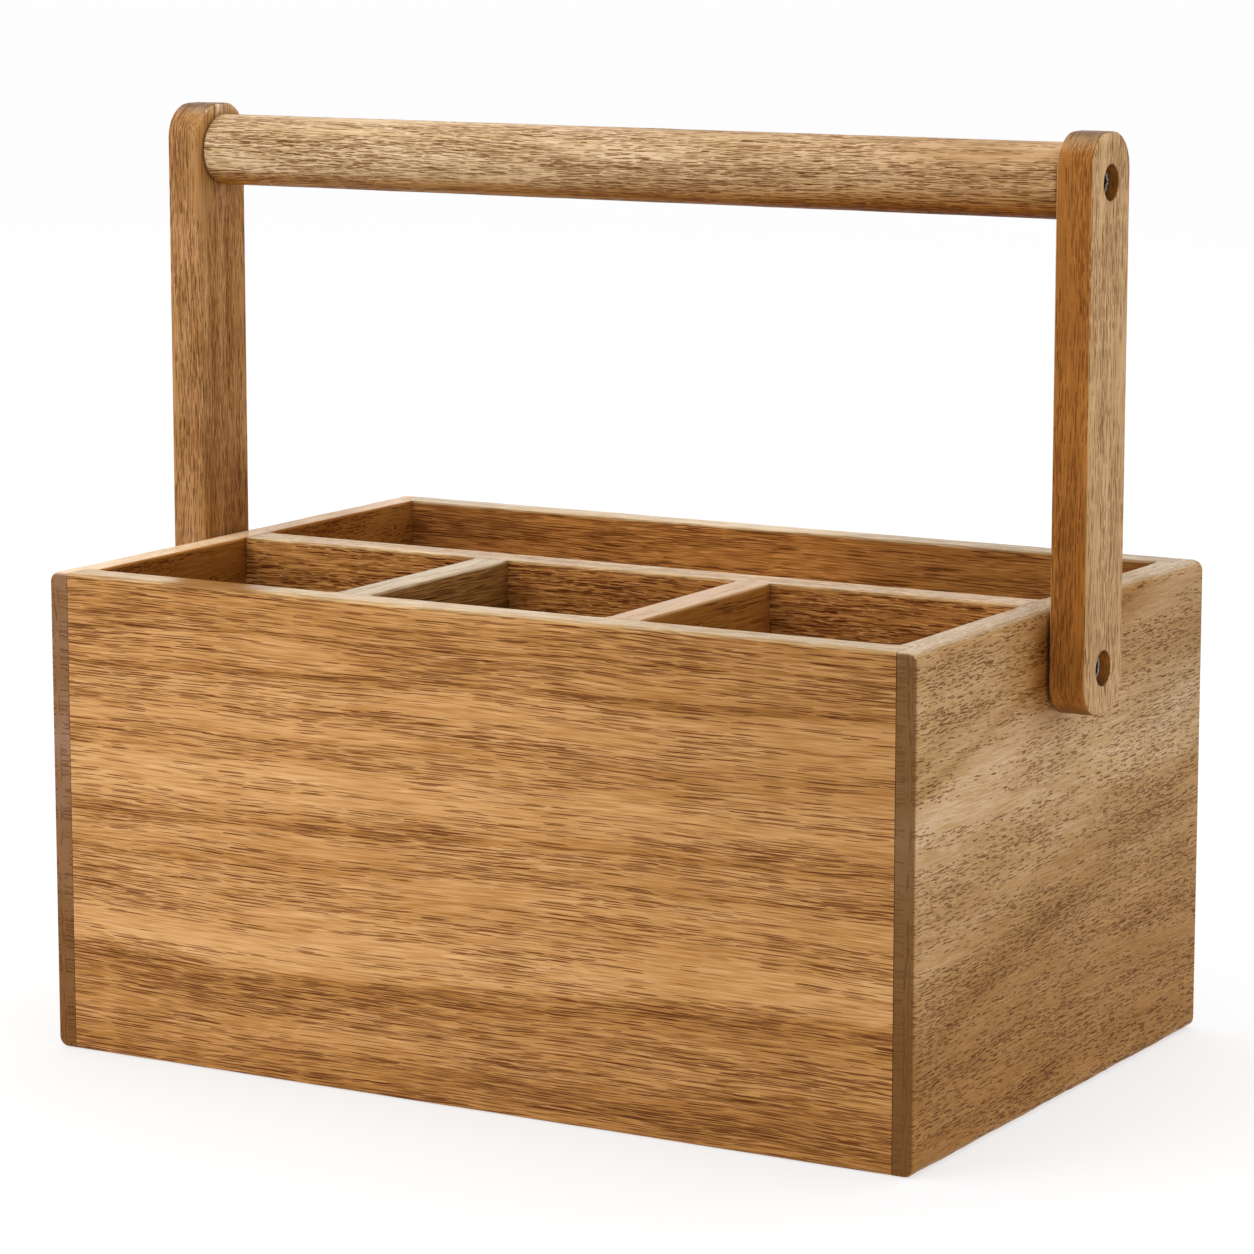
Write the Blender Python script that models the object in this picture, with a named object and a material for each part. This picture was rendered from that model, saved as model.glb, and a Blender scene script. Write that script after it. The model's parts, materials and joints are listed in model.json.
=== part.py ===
"""Wooden utensil caddy: a box with four compartments and a swing handle.

Metres, +Z up, +X along the length, the front faces -Y.
The origin is on the ground under the middle of the box.
"""

import math

import bmesh
import bpy
from mathutils import Matrix, Vector

# Box, outer sizes
BOX_LENGTH = 0.298
BOX_DEPTH = 0.200
BOX_HEIGHT = 0.150

# Boards
END_THICKNESS = 0.011
WALL_THICKNESS = 0.0105
LONG_DIVIDER_THICKNESS = 0.013
CROSS_DIVIDER_THICKNESS = 0.0115
FLOOR_THICKNESS = 0.006

# Places of the boards
FLOOR_RAISE = 0.005
LONG_DIVIDER_Y = -0.0035
LEFT_CROSS_X = -0.0445
RIGHT_CROSS_X = 0.0485

# Joints between the boards
CORNER_REBATE = 0.0045
FLOOR_GROOVE = 0.004
HOUSING_DEPTH = 0.003
HOUSING_STOP = 0.012
JOINT_GAP = 0.0003

# Rounded edges of the boards
OUTER_ROUND = 0.003
EASED_EDGE = 0.001
INNER_EASE = 0.0006

# Handle
ARM_WIDTH = 0.0264
ARM_THICKNESS = 0.0116
ARM_CORNER = 0.0105
ARM_EASE = 0.001
ARM_BELOW_PIVOT = 0.0136
ARM_ABOVE_GRIP = 0.0146
GRIP_ABOVE_PIVOT = 0.142
PIVOT_BELOW_RIM = 0.0176
GRIP_DIAMETER = 0.0225
GRIP_END_ROUND = 0.0018

# Washers between the arms and the box
WASHER_DIAMETER = 0.016
WASHER_THICKNESS = 0.0005

# Screws: two pivots and two that hold the grip
SHANK_DIAMETER = 0.005
SCREW_LENGTH = 0.040
PLAIN_SHANK = 0.018
THREAD_HEIGHT = 0.0007
THREAD_PITCH = 0.0028
TIP_LENGTH = 0.003
HEAD_DIAMETER = 0.0088
HEAD_HEIGHT = 0.0028
HEAD_ROUND = 0.0009
HEAD_SINK = 0.0030
HEAD_CLEARANCE = 0.0009
RECESS_LENGTH = 0.0064
RECESS_WIDTH = 0.0011
RECESS_DEPTH = 0.0015

# How far every cut runs past the surface that it opens
OVERRUN = 0.002

# Fineness of round shapes
EDGE_SEGMENTS = 4
HOLE_SEGMENTS = 32
CORNER_SEGMENTS = 10
GRIP_SEGMENTS = 48
SCREW_SEGMENTS = 16
RINGS_PER_PITCH = 4
LARGEST_ROUND_SHARE = 0.45
SMOOTH_ANGLE = math.radians(35)

# Places that follow from the sizes
HALF_LENGTH = BOX_LENGTH / 2
HALF_DEPTH = BOX_DEPTH / 2
END_INNER_X = HALF_LENGTH - END_THICKNESS
WALL_INNER_Y = HALF_DEPTH - WALL_THICKNESS
REBATE_X = END_INNER_X + CORNER_REBATE
FLOOR_TOP = FLOOR_RAISE + FLOOR_THICKNESS
HOUSING_TOP = BOX_HEIGHT - HOUSING_STOP
LONG_FRONT_Y = LONG_DIVIDER_Y - LONG_DIVIDER_THICKNESS / 2
LONG_BACK_Y = LONG_DIVIDER_Y + LONG_DIVIDER_THICKNESS / 2
PIVOT_Z = BOX_HEIGHT - PIVOT_BELOW_RIM
ARM_INNER_X = HALF_LENGTH + WASHER_THICKNESS + 2 * JOINT_GAP
ARM_OUTER_X = ARM_INNER_X + ARM_THICKNESS
HEAD_UNDER_X = ARM_OUTER_X - HEAD_SINK - HEAD_HEIGHT
SCREW_TIP_X = HEAD_UNDER_X - SCREW_LENGTH
BORE_RADIUS = SHANK_DIAMETER / 2 + JOINT_GAP
COUNTERBORE_RADIUS = HEAD_DIAMETER / 2 + HEAD_CLEARANCE
CORE_RADIUS = SHANK_DIAMETER / 2 - THREAD_HEIGHT
THREAD_START = -SCREW_LENGTH + TIP_LENGTH
THREAD_END = -PLAIN_SHANK

# Colours of the finishes: base colour, roughness, metallic
ACACIA_GOLDEN = ((0.42, 0.21, 0.08), 0.5, 0.0)
ACACIA_PALE = ((0.45, 0.29, 0.15), 0.5, 0.0)
ACACIA_BROWN = ((0.30, 0.15, 0.06), 0.5, 0.0)
SCREW_STEEL = ((0.60, 0.60, 0.61), 0.3, 1.0)
NYLON = ((0.05, 0.045, 0.04), 0.6, 0.0)


def clear_scene():
    """Remove every object that the file already holds."""
    for old in list(bpy.data.objects):
        bpy.data.objects.remove(old, do_unlink=True)


def finish(name, look):
    """A plain material from a base colour, a roughness and a metallic value."""
    colour, roughness, metallic = look
    material = bpy.data.materials.new(name)
    material.use_nodes = True
    shader = material.node_tree.nodes["Principled BSDF"]
    shader.inputs["Base Color"].default_value = (*colour, 1.0)
    shader.inputs["Roughness"].default_value = roughness
    shader.inputs["Metallic"].default_value = metallic
    material.diffuse_color = (*colour, 1.0)
    return material


def place(name, mesh, location, parent=None, turn=0.0):
    """Link a mesh as a named object at a world place, turned about Z."""
    piece = bpy.data.objects.new(name, mesh)
    bpy.context.collection.objects.link(piece)
    piece.location = location
    piece.rotation_euler = (0, 0, turn)
    if parent:
        piece.parent = parent
        piece.location = Vector(location) - parent.location
    return piece


def empty(name, location):
    """An empty that other pieces are parented to."""
    holder = bpy.data.objects.new(name, None)
    bpy.context.collection.objects.link(holder)
    holder.location = location
    return holder


def mesh_from(name, shape):
    """Turn a bmesh into a mesh with its faces pointing out."""
    bmesh.ops.recalc_face_normals(shape, faces=shape.faces)
    mesh = bpy.data.meshes.new(name)
    shape.to_mesh(mesh)
    shape.free()
    return mesh


def block_mesh(name, low, high):
    """A box between two corners, centred on its own origin."""
    shape = bmesh.new()
    bmesh.ops.create_cube(shape, size=1.0)
    size = Vector(high) - Vector(low)
    bmesh.ops.scale(shape, vec=size, verts=shape.verts)
    return mesh_from(name, shape)


def middle(low, high):
    """The point halfway between two corners."""
    return (Vector(low) + Vector(high)) / 2


def block_cutter(low, high):
    """A hidden box between two world corners, used to cut a board."""
    return place("cutter", block_mesh("cutter", low, high), middle(low, high))


def bore_cutter(radius, x_low, x_high, y, z):
    """A hidden round bar along X, used to drill a hole."""
    shape = bmesh.new()
    along_x = Matrix.Rotation(math.pi / 2, 4, "Y")
    bmesh.ops.create_cone(
        shape,
        cap_ends=True,
        segments=HOLE_SEGMENTS,
        radius1=radius,
        radius2=radius,
        depth=x_high - x_low,
        matrix=along_x,
    )
    return place("cutter", mesh_from("cutter", shape), ((x_low + x_high) / 2, y, z))


def round_edges(piece, radii):
    """Mark the edges of a box for rounding.

    Each key gives the sides that the edge lies on, as signs along X, Y and Z
    with 0 along the edge itself. Each value is that edge's radius.
    """
    mesh = piece.data
    smallest_side = min(piece.dimensions)
    limit = smallest_side * LARGEST_ROUND_SHARE
    width = min(max(radii.values()), limit)
    weights = mesh.attributes.new("bevel_weight_edge", "FLOAT", "EDGE")
    for edge in mesh.edges:
        ends = [mesh.vertices[index].co for index in edge.vertices]
        centre = (ends[0] + ends[1]) / 2
        key = tuple(round(2 * centre[axis] / piece.dimensions[axis]) for axis in range(3))
        weights.data[edge.index].value = min(radii.get(key, 0), limit) / width
    rounding = piece.modifiers.new("rounded edges", "BEVEL")
    rounding.limit_method = "WEIGHT"
    rounding.width = width
    rounding.segments = EDGE_SEGMENTS


def cut(piece, cutters):
    """Subtract each cutter from a piece, after the modifiers it already has."""
    for cutter in cutters:
        cutter.hide_render = True
        cutter.display_type = "WIRE"
        subtraction = piece.modifiers.new("cut", "BOOLEAN")
        subtraction.operation = "DIFFERENCE"
        subtraction.solver = "EXACT"
        subtraction.object = cutter


def settle(piece, material, cutters=()):
    """Keep the evaluated shape as the piece's own mesh, drop the cutters, shade it."""
    bpy.context.view_layer.update()
    shown = piece.evaluated_get(bpy.context.evaluated_depsgraph_get())
    mesh = bpy.data.meshes.new_from_object(shown)
    mesh.name = piece.name
    piece.modifiers.clear()
    piece.data = mesh
    for cutter in cutters:
        bpy.data.objects.remove(cutter, do_unlink=True)
    mesh.materials.clear()
    mesh.materials.append(material)
    mesh.shade_smooth()
    mesh.set_sharp_from_angle(angle=SMOOTH_ANGLE)
    return piece


def board(name, low, high, radii, cutters, look, parent):
    """A board between two world corners, with rounded edges and cuts."""
    piece = place(name, block_mesh(name, low, high), middle(low, high), parent)
    bpy.context.view_layer.update()
    round_edges(piece, radii)
    cut(piece, cutters)
    return settle(piece, finish(name + " finish", look), cutters)


def turned_mesh(name, profile, segments, closed_ring=False):
    """Spin a profile of (x, radius) points once about the X axis.

    A closed ring joins its last point to its first. Any other profile starts
    and ends on the axis.
    """
    shape = bmesh.new()
    points = [shape.verts.new((x, 0, radius)) for x, radius in profile]
    edges = [shape.edges.new(pair) for pair in zip(points, points[1:])]
    if closed_ring:
        edges.append(shape.edges.new((points[-1], points[0])))
    bmesh.ops.spin(
        shape,
        geom=points + edges,
        cent=(0, 0, 0),
        axis=(1, 0, 0),
        dvec=(0, 0, 0),
        angle=2 * math.pi,
        steps=segments,
        use_merge=True,
    )
    merge = JOINT_GAP / 100
    bmesh.ops.remove_doubles(shape, verts=shape.verts, dist=merge)
    return mesh_from(name, shape)


def quarter_round(x_start, radius_start, round_radius, x_way, radius_way, steps):
    """Points of a quarter circle that leaves along the radius and arrives along X."""
    points = []
    for step in range(steps + 1):
        angle = math.pi / 2 * step / steps
        x = x_start + x_way * round_radius * (1 - math.cos(angle))
        radius = radius_start + radius_way * round_radius * math.sin(angle)
        points.append((x, radius))
    return points


def end_panel(side, parent):
    """The end board at x of this sign, with its rebates, groove, housing and pivot hole."""
    name = "right_end_panel" if side > 0 else "left_end_panel"
    outer = side * HALF_LENGTH
    inner = side * END_INNER_X
    low = (min(outer, inner), -HALF_DEPTH, 0)
    high = (max(outer, inner), HALF_DEPTH, BOX_HEIGHT)
    radii = {(-side, 0, 1): INNER_EASE}
    for z_side in (-1, 1):
        radii[(side, 0, z_side)] = OUTER_ROUND
        for y_side in (-1, 1):
            radii[(0, y_side, z_side)] = EASED_EDGE
            radii[(side, y_side, 0)] = EASED_EDGE

    def inward_cut(depth, y_low, y_high, z_low, z_high):
        """A cut from inside the box into the panel's inner face."""
        start = inner - side * OVERRUN
        stop = inner + side * depth
        return block_cutter((min(start, stop), y_low, z_low), (max(start, stop), y_high, z_high))

    rebate_y = WALL_INNER_Y - JOINT_GAP
    past_y = HALF_DEPTH + OVERRUN
    past_top = BOX_HEIGHT + OVERRUN
    cutters = [
        inward_cut(CORNER_REBATE, -past_y, -rebate_y, -OVERRUN, past_top),
        inward_cut(CORNER_REBATE, rebate_y, past_y, -OVERRUN, past_top),
        inward_cut(FLOOR_GROOVE, -past_y, past_y, FLOOR_RAISE - JOINT_GAP, FLOOR_TOP + JOINT_GAP),
        inward_cut(HOUSING_DEPTH, LONG_FRONT_Y - JOINT_GAP, LONG_BACK_Y + JOINT_GAP, FLOOR_TOP, HOUSING_TOP),
        bore_cutter(
            BORE_RADIUS,
            min(outer, inner) - OVERRUN,
            max(outer, inner) + OVERRUN,
            LONG_DIVIDER_Y,
            PIVOT_Z,
        ),
    ]
    return board(name, low, high, radii, cutters, ACACIA_PALE, parent)


def wall_panel(side, parent, cross_places):
    """The front (-1) or back (+1) board, with its floor groove and any cross housings."""
    name = "front_panel" if side < 0 else "back_panel"
    half = REBATE_X - JOINT_GAP
    outer = side * HALF_DEPTH
    inner = side * WALL_INNER_Y
    low = (-half, min(outer, inner), 0)
    high = (half, max(outer, inner), BOX_HEIGHT)
    radii = {
        (0, side, 1): EASED_EDGE,
        (0, side, -1): EASED_EDGE,
        (0, -side, 1): INNER_EASE,
    }

    def inward_cut(depth, x_low, x_high, z_low, z_high):
        """A cut from inside the box into the panel's inner face."""
        start = inner - side * OVERRUN
        stop = inner + side * depth
        return block_cutter((x_low, min(start, stop), z_low), (x_high, max(start, stop), z_high))

    past_x = half + OVERRUN
    cutters = [inward_cut(FLOOR_GROOVE, -past_x, past_x, FLOOR_RAISE - JOINT_GAP, FLOOR_TOP + JOINT_GAP)]
    half_housing = CROSS_DIVIDER_THICKNESS / 2 + JOINT_GAP
    for x in cross_places:
        cutters.append(inward_cut(HOUSING_DEPTH, x - half_housing, x + half_housing, FLOOR_TOP, HOUSING_TOP))
    return board(name, low, high, radii, cutters, ACACIA_GOLDEN, parent)


def floor_panel(parent):
    """The bottom board, held in the grooves of the four walls."""
    half_x = END_INNER_X + FLOOR_GROOVE - JOINT_GAP
    half_y = WALL_INNER_Y + FLOOR_GROOVE - JOINT_GAP
    name = "bottom_panel"
    low = (-half_x, -half_y, FLOOR_RAISE)
    high = (half_x, half_y, FLOOR_TOP)
    mesh = block_mesh(name, low, high)
    piece = place(name, mesh, middle(low, high), parent)
    return settle(piece, finish(name + " finish", ACACIA_BROWN))


def notches(axis, low_end, high_end, across_low, across_high):
    """Two cuts that leave a tongue on each end of a divider, below the housing's stop.

    The ends are the faces that the divider meets, along the given axis.
    """
    cutters = []
    reach = HOUSING_DEPTH + OVERRUN
    bottom = HOUSING_TOP - JOINT_GAP
    top = BOX_HEIGHT + OVERRUN
    spans = (
        (low_end - reach, low_end + JOINT_GAP),
        (high_end - JOINT_GAP, high_end + reach),
    )
    for start, stop in spans:
        if axis == "X":
            low = (start, across_low - OVERRUN, bottom)
            high = (stop, across_high + OVERRUN, top)
        else:
            low = (across_low - OVERRUN, start, bottom)
            high = (across_high + OVERRUN, stop, top)
        cutters.append(block_cutter(low, high))
    return cutters


def long_divider(parent, cross_places):
    """The board along the middle, tongued into the end panels and drilled for the pivots."""
    tongue_x = END_INNER_X + HOUSING_DEPTH - JOINT_GAP
    low = (-tongue_x, LONG_FRONT_Y, FLOOR_TOP + JOINT_GAP)
    high = (tongue_x, LONG_BACK_Y, BOX_HEIGHT)
    radii = {(0, -1, 1): INNER_EASE, (0, 1, 1): INNER_EASE}
    cutters = notches("X", -END_INNER_X, END_INNER_X, LONG_FRONT_Y, LONG_BACK_Y)
    half_housing = CROSS_DIVIDER_THICKNESS / 2 + JOINT_GAP
    for x in cross_places:
        cutters.append(
            block_cutter(
                (x - half_housing, LONG_FRONT_Y - OVERRUN, FLOOR_RAISE),
                (x + half_housing, LONG_FRONT_Y + HOUSING_DEPTH, HOUSING_TOP),
            )
        )
    bore_end = SCREW_TIP_X - JOINT_GAP
    past_x = tongue_x + OVERRUN
    cutters.append(bore_cutter(BORE_RADIUS, bore_end, past_x, LONG_DIVIDER_Y, PIVOT_Z))
    cutters.append(bore_cutter(BORE_RADIUS, -past_x, -bore_end, LONG_DIVIDER_Y, PIVOT_Z))
    return board("long_divider", low, high, radii, cutters, ACACIA_GOLDEN, parent)


def cross_divider(name, x, parent):
    """A short board between the front panel and the long divider, tongued at both ends."""
    half = CROSS_DIVIDER_THICKNESS / 2
    tongue = HOUSING_DEPTH - JOINT_GAP
    low = (x - half, -WALL_INNER_Y - tongue, FLOOR_TOP + JOINT_GAP)
    high = (x + half, LONG_FRONT_Y + tongue, BOX_HEIGHT)
    radii = {(-1, 0, 1): INNER_EASE, (1, 0, 1): INNER_EASE}
    cutters = notches("Y", -WALL_INNER_Y, LONG_FRONT_Y, x - half, x + half)
    return board(name, low, high, radii, cutters, ACACIA_BROWN, parent)


def arm_outline():
    """Points of the arm's round-cornered outline in Y and Z, round the pivot at the origin."""
    half = ARM_WIDTH / 2
    corner = min(ARM_CORNER, half * 2 * LARGEST_ROUND_SHARE)
    bottom = -ARM_BELOW_PIVOT
    top = GRIP_ABOVE_PIVOT + ARM_ABOVE_GRIP
    centres = (
        (half - corner, top - corner, 0),
        (-half + corner, top - corner, 1),
        (-half + corner, bottom + corner, 2),
        (half - corner, bottom + corner, 3),
    )
    points = []
    for y, z, quarter in centres:
        for step in range(CORNER_SEGMENTS + 1):
            angle = math.pi / 2 * (quarter + step / CORNER_SEGMENTS)
            points.append((y + corner * math.cos(angle), z + corner * math.sin(angle)))
    return points


def handle_arm(name, side, parent):
    """One arm of the handle, with two counterbored screw holes, its origin on the pivot axis."""
    shape = bmesh.new()
    rim = [shape.verts.new((0, y, z)) for y, z in arm_outline()]
    face = shape.faces.new(rim)
    grown = bmesh.ops.extrude_face_region(shape, geom=[face])
    moved = [item for item in grown["geom"] if isinstance(item, bmesh.types.BMVert)]
    bmesh.ops.translate(shape, vec=(ARM_THICKNESS, 0, 0), verts=moved)
    place_x = side * ARM_INNER_X
    turn = 0 if side > 0 else math.pi
    piece = place(name, mesh_from(name, shape), (place_x, LONG_DIVIDER_Y, PIVOT_Z), parent, turn)
    easing = piece.modifiers.new("eased edges", "BEVEL")
    easing.limit_method = "ANGLE"
    easing.angle_limit = math.radians(60)
    easing.width = ARM_EASE
    easing.segments = EDGE_SEGMENTS
    seat_x = HEAD_UNDER_X - JOINT_GAP
    cutters = []
    for z in (PIVOT_Z, PIVOT_Z + GRIP_ABOVE_PIVOT):
        for radius, start, stop in (
            (BORE_RADIUS, ARM_INNER_X - OVERRUN, ARM_OUTER_X + OVERRUN),
            (COUNTERBORE_RADIUS, seat_x, ARM_OUTER_X + OVERRUN),
        ):
            ends = sorted((side * start, side * stop))
            cutters.append(bore_cutter(radius, ends[0], ends[1], LONG_DIVIDER_Y, z))
    cut(piece, cutters)
    return settle(piece, finish(name + " finish", ACACIA_PALE), cutters)


def grip(parent):
    """The round bar between the arms, drilled at both ends for its screws."""
    half = ARM_INNER_X - JOINT_GAP
    radius = GRIP_DIAMETER / 2
    round_radius = min(GRIP_END_ROUND, radius * LARGEST_ROUND_SHARE)
    bore_end = SCREW_TIP_X - JOINT_GAP
    right = [(bore_end, 0), (bore_end, BORE_RADIUS), (half, BORE_RADIUS)]
    shoulder = quarter_round(half, radius - round_radius, round_radius, -1, 1, EDGE_SEGMENTS)
    right += shoulder
    left = [(-x, r) for x, r in reversed(right)]
    mesh = turned_mesh("handle_dowel", right + left, GRIP_SEGMENTS)
    place_at = (0, LONG_DIVIDER_Y, PIVOT_Z + GRIP_ABOVE_PIVOT)
    piece = place("handle_dowel", mesh, place_at, parent)
    return settle(piece, finish("handle_dowel finish", ACACIA_PALE))


def screw_profile():
    """Half outline of a screw from its tip to the top of its head, the head's seat at x = 0."""
    shank = SHANK_DIAMETER / 2
    head = HEAD_DIAMETER / 2
    threaded = THREAD_END - THREAD_START
    rings = round(threaded / THREAD_PITCH * RINGS_PER_PITCH)
    profile = [(-SCREW_LENGTH, 0)]
    for ring in range(rings + 1):
        profile.append((THREAD_START + threaded * ring / rings, CORE_RADIUS))
    profile.append((THREAD_END + THREAD_HEIGHT, shank))
    profile.append((0, shank))
    profile.append((0, head))
    rim = quarter_round(HEAD_HEIGHT, head - HEAD_ROUND, HEAD_ROUND, -1, 1, EDGE_SEGMENTS)
    profile += reversed(rim)
    profile.append((HEAD_HEIGHT, 0))
    return profile


def raise_thread(mesh):
    """Move the rings of the threaded stretch outwards along a helix.

    The radius is the core plus the thread's height times a triangle wave of
    the turns along X minus the turns about X. It fades in and out at the ends.
    """
    for vertex in mesh.vertices:
        x, y, z = vertex.co
        if not THREAD_START < x < THREAD_END:
            continue
        radius = math.hypot(y, z)
        phase = x / THREAD_PITCH - math.atan2(z, y) / (2 * math.pi)
        wave = 1 - 2 * abs(phase - math.floor(phase) - 1 / 2)
        fade = min(1, (x - THREAD_START) / THREAD_PITCH, (THREAD_END - x) / THREAD_PITCH)
        stretch = (radius + THREAD_HEIGHT * wave * fade) / radius
        vertex.co = (x, y * stretch, z * stretch)


def screw(name, side, z, parent):
    """A screw along X with its head outwards, its origin at the head's seat."""
    mesh = turned_mesh(name, screw_profile(), SCREW_SEGMENTS)
    raise_thread(mesh)
    turn = 0 if side > 0 else math.pi
    seat_x = side * HEAD_UNDER_X
    piece = place(name, mesh, (seat_x, LONG_DIVIDER_Y, z), parent, turn)
    face_x = side * (HEAD_UNDER_X + HEAD_HEIGHT)
    ends = sorted((face_x - side * RECESS_DEPTH, face_x + side * OVERRUN))
    cutters = []
    for half_y, half_z in (
        (RECESS_LENGTH / 2, RECESS_WIDTH / 2),
        (RECESS_WIDTH / 2, RECESS_LENGTH / 2),
    ):
        low = (ends[0], LONG_DIVIDER_Y - half_y, z - half_z)
        high = (ends[1], LONG_DIVIDER_Y + half_y, z + half_z)
        cutters.append(block_cutter(low, high))
    cut(piece, cutters)
    return settle(piece, finish(name + " finish", SCREW_STEEL), cutters)


def washer(name, side, parent):
    """A flat ring round the pivot screw, between the arm and the end panel."""
    outer = WASHER_DIAMETER / 2
    half = WASHER_THICKNESS / 2
    profile = [(-half, BORE_RADIUS), (half, BORE_RADIUS), (half, outer), (-half, outer)]
    mesh = turned_mesh(name, profile, HOLE_SEGMENTS, closed_ring=True)
    x = side * (HALF_LENGTH + JOINT_GAP + half)
    piece = place(name, mesh, (x, LONG_DIVIDER_Y, PIVOT_Z), parent)
    return settle(piece, finish(name + " finish", NYLON))


def build():
    """Make every piece of the caddy."""
    clear_scene()
    box = empty("box", (0, 0, 0))
    handle = empty("handle_pivot", (0, LONG_DIVIDER_Y, PIVOT_Z))
    bpy.context.view_layer.update()
    cross_places = (LEFT_CROSS_X, RIGHT_CROSS_X)
    wall_panel(-1, box, cross_places)
    wall_panel(1, box, ())
    floor_panel(box)
    long_divider(box, cross_places)
    cross_divider("left_cross_divider", LEFT_CROSS_X, box)
    cross_divider("right_cross_divider", RIGHT_CROSS_X, box)
    grip(handle)
    for side, word in ((-1, "left"), (1, "right")):
        end_panel(side, box)
        washer(word + "_washer", side, box)
        screw(word + "_pivot_screw", side, PIVOT_Z, box)
        handle_arm(word + "_arm", side, handle)
        screw(word + "_handle_screw", side, PIVOT_Z + GRIP_ABOVE_PIVOT, handle)


build()
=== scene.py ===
# %% [markdown]
# A wooden utensil caddy with a swing handle.
# The real caddy is a box of thin oiled hardwood boards. The corners are rebated, the dividers sit in shallow
# housings, and a round dowel between two flat arms makes the handle. The arms turn on two sunk screws.
# A measured model of every piece is already there. It is exact but plain: flat triangles and square joints.
# This lesson gives each piece its fine surface: sanded edges, tight joints, turned threads and real wood.
# The measured model stays as the frame that every new surface is fitted to.

# %% Load the measured model
import json
import math

import bmesh
import bpy
import numpy as np
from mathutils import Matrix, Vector


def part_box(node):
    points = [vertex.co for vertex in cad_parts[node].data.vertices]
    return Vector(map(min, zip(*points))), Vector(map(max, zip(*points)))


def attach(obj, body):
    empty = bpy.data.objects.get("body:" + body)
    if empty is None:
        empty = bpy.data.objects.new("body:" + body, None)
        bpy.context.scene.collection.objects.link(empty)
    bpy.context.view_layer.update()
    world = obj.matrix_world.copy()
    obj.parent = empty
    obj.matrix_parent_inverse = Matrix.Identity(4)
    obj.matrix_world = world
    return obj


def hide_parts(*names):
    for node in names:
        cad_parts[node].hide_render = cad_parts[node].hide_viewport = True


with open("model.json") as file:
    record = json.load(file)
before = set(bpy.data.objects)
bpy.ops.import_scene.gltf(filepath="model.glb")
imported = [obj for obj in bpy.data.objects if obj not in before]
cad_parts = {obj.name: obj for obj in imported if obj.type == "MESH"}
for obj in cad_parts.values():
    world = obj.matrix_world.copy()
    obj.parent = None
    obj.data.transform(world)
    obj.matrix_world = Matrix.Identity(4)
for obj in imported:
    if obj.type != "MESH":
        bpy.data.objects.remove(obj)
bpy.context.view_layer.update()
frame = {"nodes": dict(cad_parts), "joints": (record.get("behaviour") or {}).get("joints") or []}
MM = 0.001
print("measured pieces:", len(frame["nodes"]))

# %% [markdown]
# The camera.
# The photograph looks down a little, from the front and right. Long lenses keep the upright edges nearly
# parallel, and here they almost are, so the lens is long. The place and the lens were found by matching the
# box corners and the ends of the handle with their places in the picture, with the sizes held fixed.

# %% Camera
IMAGE_SIDE_PIXELS = 1254
FOCAL_PIXELS = 4626.3
SENSOR_WIDTH = 36.0
CAMERA_YAW = math.radians(30.03)
CAMERA_PITCH = math.radians(9.45)
CAMERA_DISTANCE = 1.4451
AIM = Vector((0, 0, 0.09))
AIM_RIGHT = -0.00133
AIM_UP = 0.04016


def make_camera():
    """A camera that looks back along its own direction at a point beside the aim."""
    level = math.cos(CAMERA_PITCH)
    back = Vector((math.sin(CAMERA_YAW) * level, -math.cos(CAMERA_YAW) * level, math.sin(CAMERA_PITCH)))
    right = Vector((math.cos(CAMERA_YAW), math.sin(CAMERA_YAW), 0))
    up = back.cross(right)
    lens = bpy.data.cameras.new("photo camera")
    lens.sensor_width = SENSOR_WIDTH
    lens.lens = FOCAL_PIXELS / IMAGE_SIDE_PIXELS * SENSOR_WIDTH
    lens.clip_end = 100
    camera = bpy.data.objects.new("photo camera", lens)
    bpy.context.scene.collection.objects.link(camera)
    camera.location = AIM + back * CAMERA_DISTANCE + right * AIM_RIGHT + up * AIM_UP
    camera.rotation_mode = "QUATERNION"
    camera.rotation_quaternion = back.to_track_quat("Z", "Y")
    return camera


bpy.context.scene.camera = make_camera()
print("lens, mm:", round(bpy.context.scene.camera.data.lens, 1))

# %% [markdown]
# Nodes and numbers.
# A material here is a small graph of nodes. It could be wired by hand in the Shader Editor. A script needs a
# few helpers to stay readable: one adds a node and fills in its inputs, whether they are plain values or the
# outputs of other nodes, and the others add a single sum, a soft step from one place to another, a blend of
# two colours or a ramp.

# %% Helpers for node graphs


def add(tree, kind, inputs=None, **settings):
    """Add one shader node. Each input is a value to set or a socket to link."""
    made = tree.nodes.new("ShaderNode" + kind)
    for key, value in settings.items():
        setattr(made, key, value)
    for name, value in (inputs or {}).items():
        if isinstance(value, bpy.types.NodeSocket):
            tree.links.new(value, made.inputs[name])
        else:
            made.inputs[name].default_value = value
    return made


def calc(tree, operation, *values, clamp=False):
    """The result of one Math node."""
    return add(tree, "Math", dict(enumerate(values)), operation=operation, use_clamp=clamp).outputs[0]


def vector_calc(tree, operation, *values):
    """The result of one Vector Math node."""
    return add(tree, "VectorMath", dict(enumerate(values)), operation=operation).outputs[0]


def parts_of(tree, vector):
    """The X, Y and Z of a vector."""
    return add(tree, "SeparateXYZ", {0: vector}).outputs


def rise(tree, value, start, stop, low=0.0, high=1.0, **settings):
    """Low at the start, high at the stop, even between them and level outside."""
    reach = {"Value": value, "From Min": start, "From Max": stop, "To Min": low, "To Max": high}
    return add(tree, "MapRange", reach, **settings).outputs[0]


def mix(tree, factor, first, second, blend="MIX"):
    """The first colour blended with the second."""
    made = add(tree, "Mix", {0: factor, 6: first, 7: second}, data_type="RGBA", blend_type=blend)
    return made.outputs[2]


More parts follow.
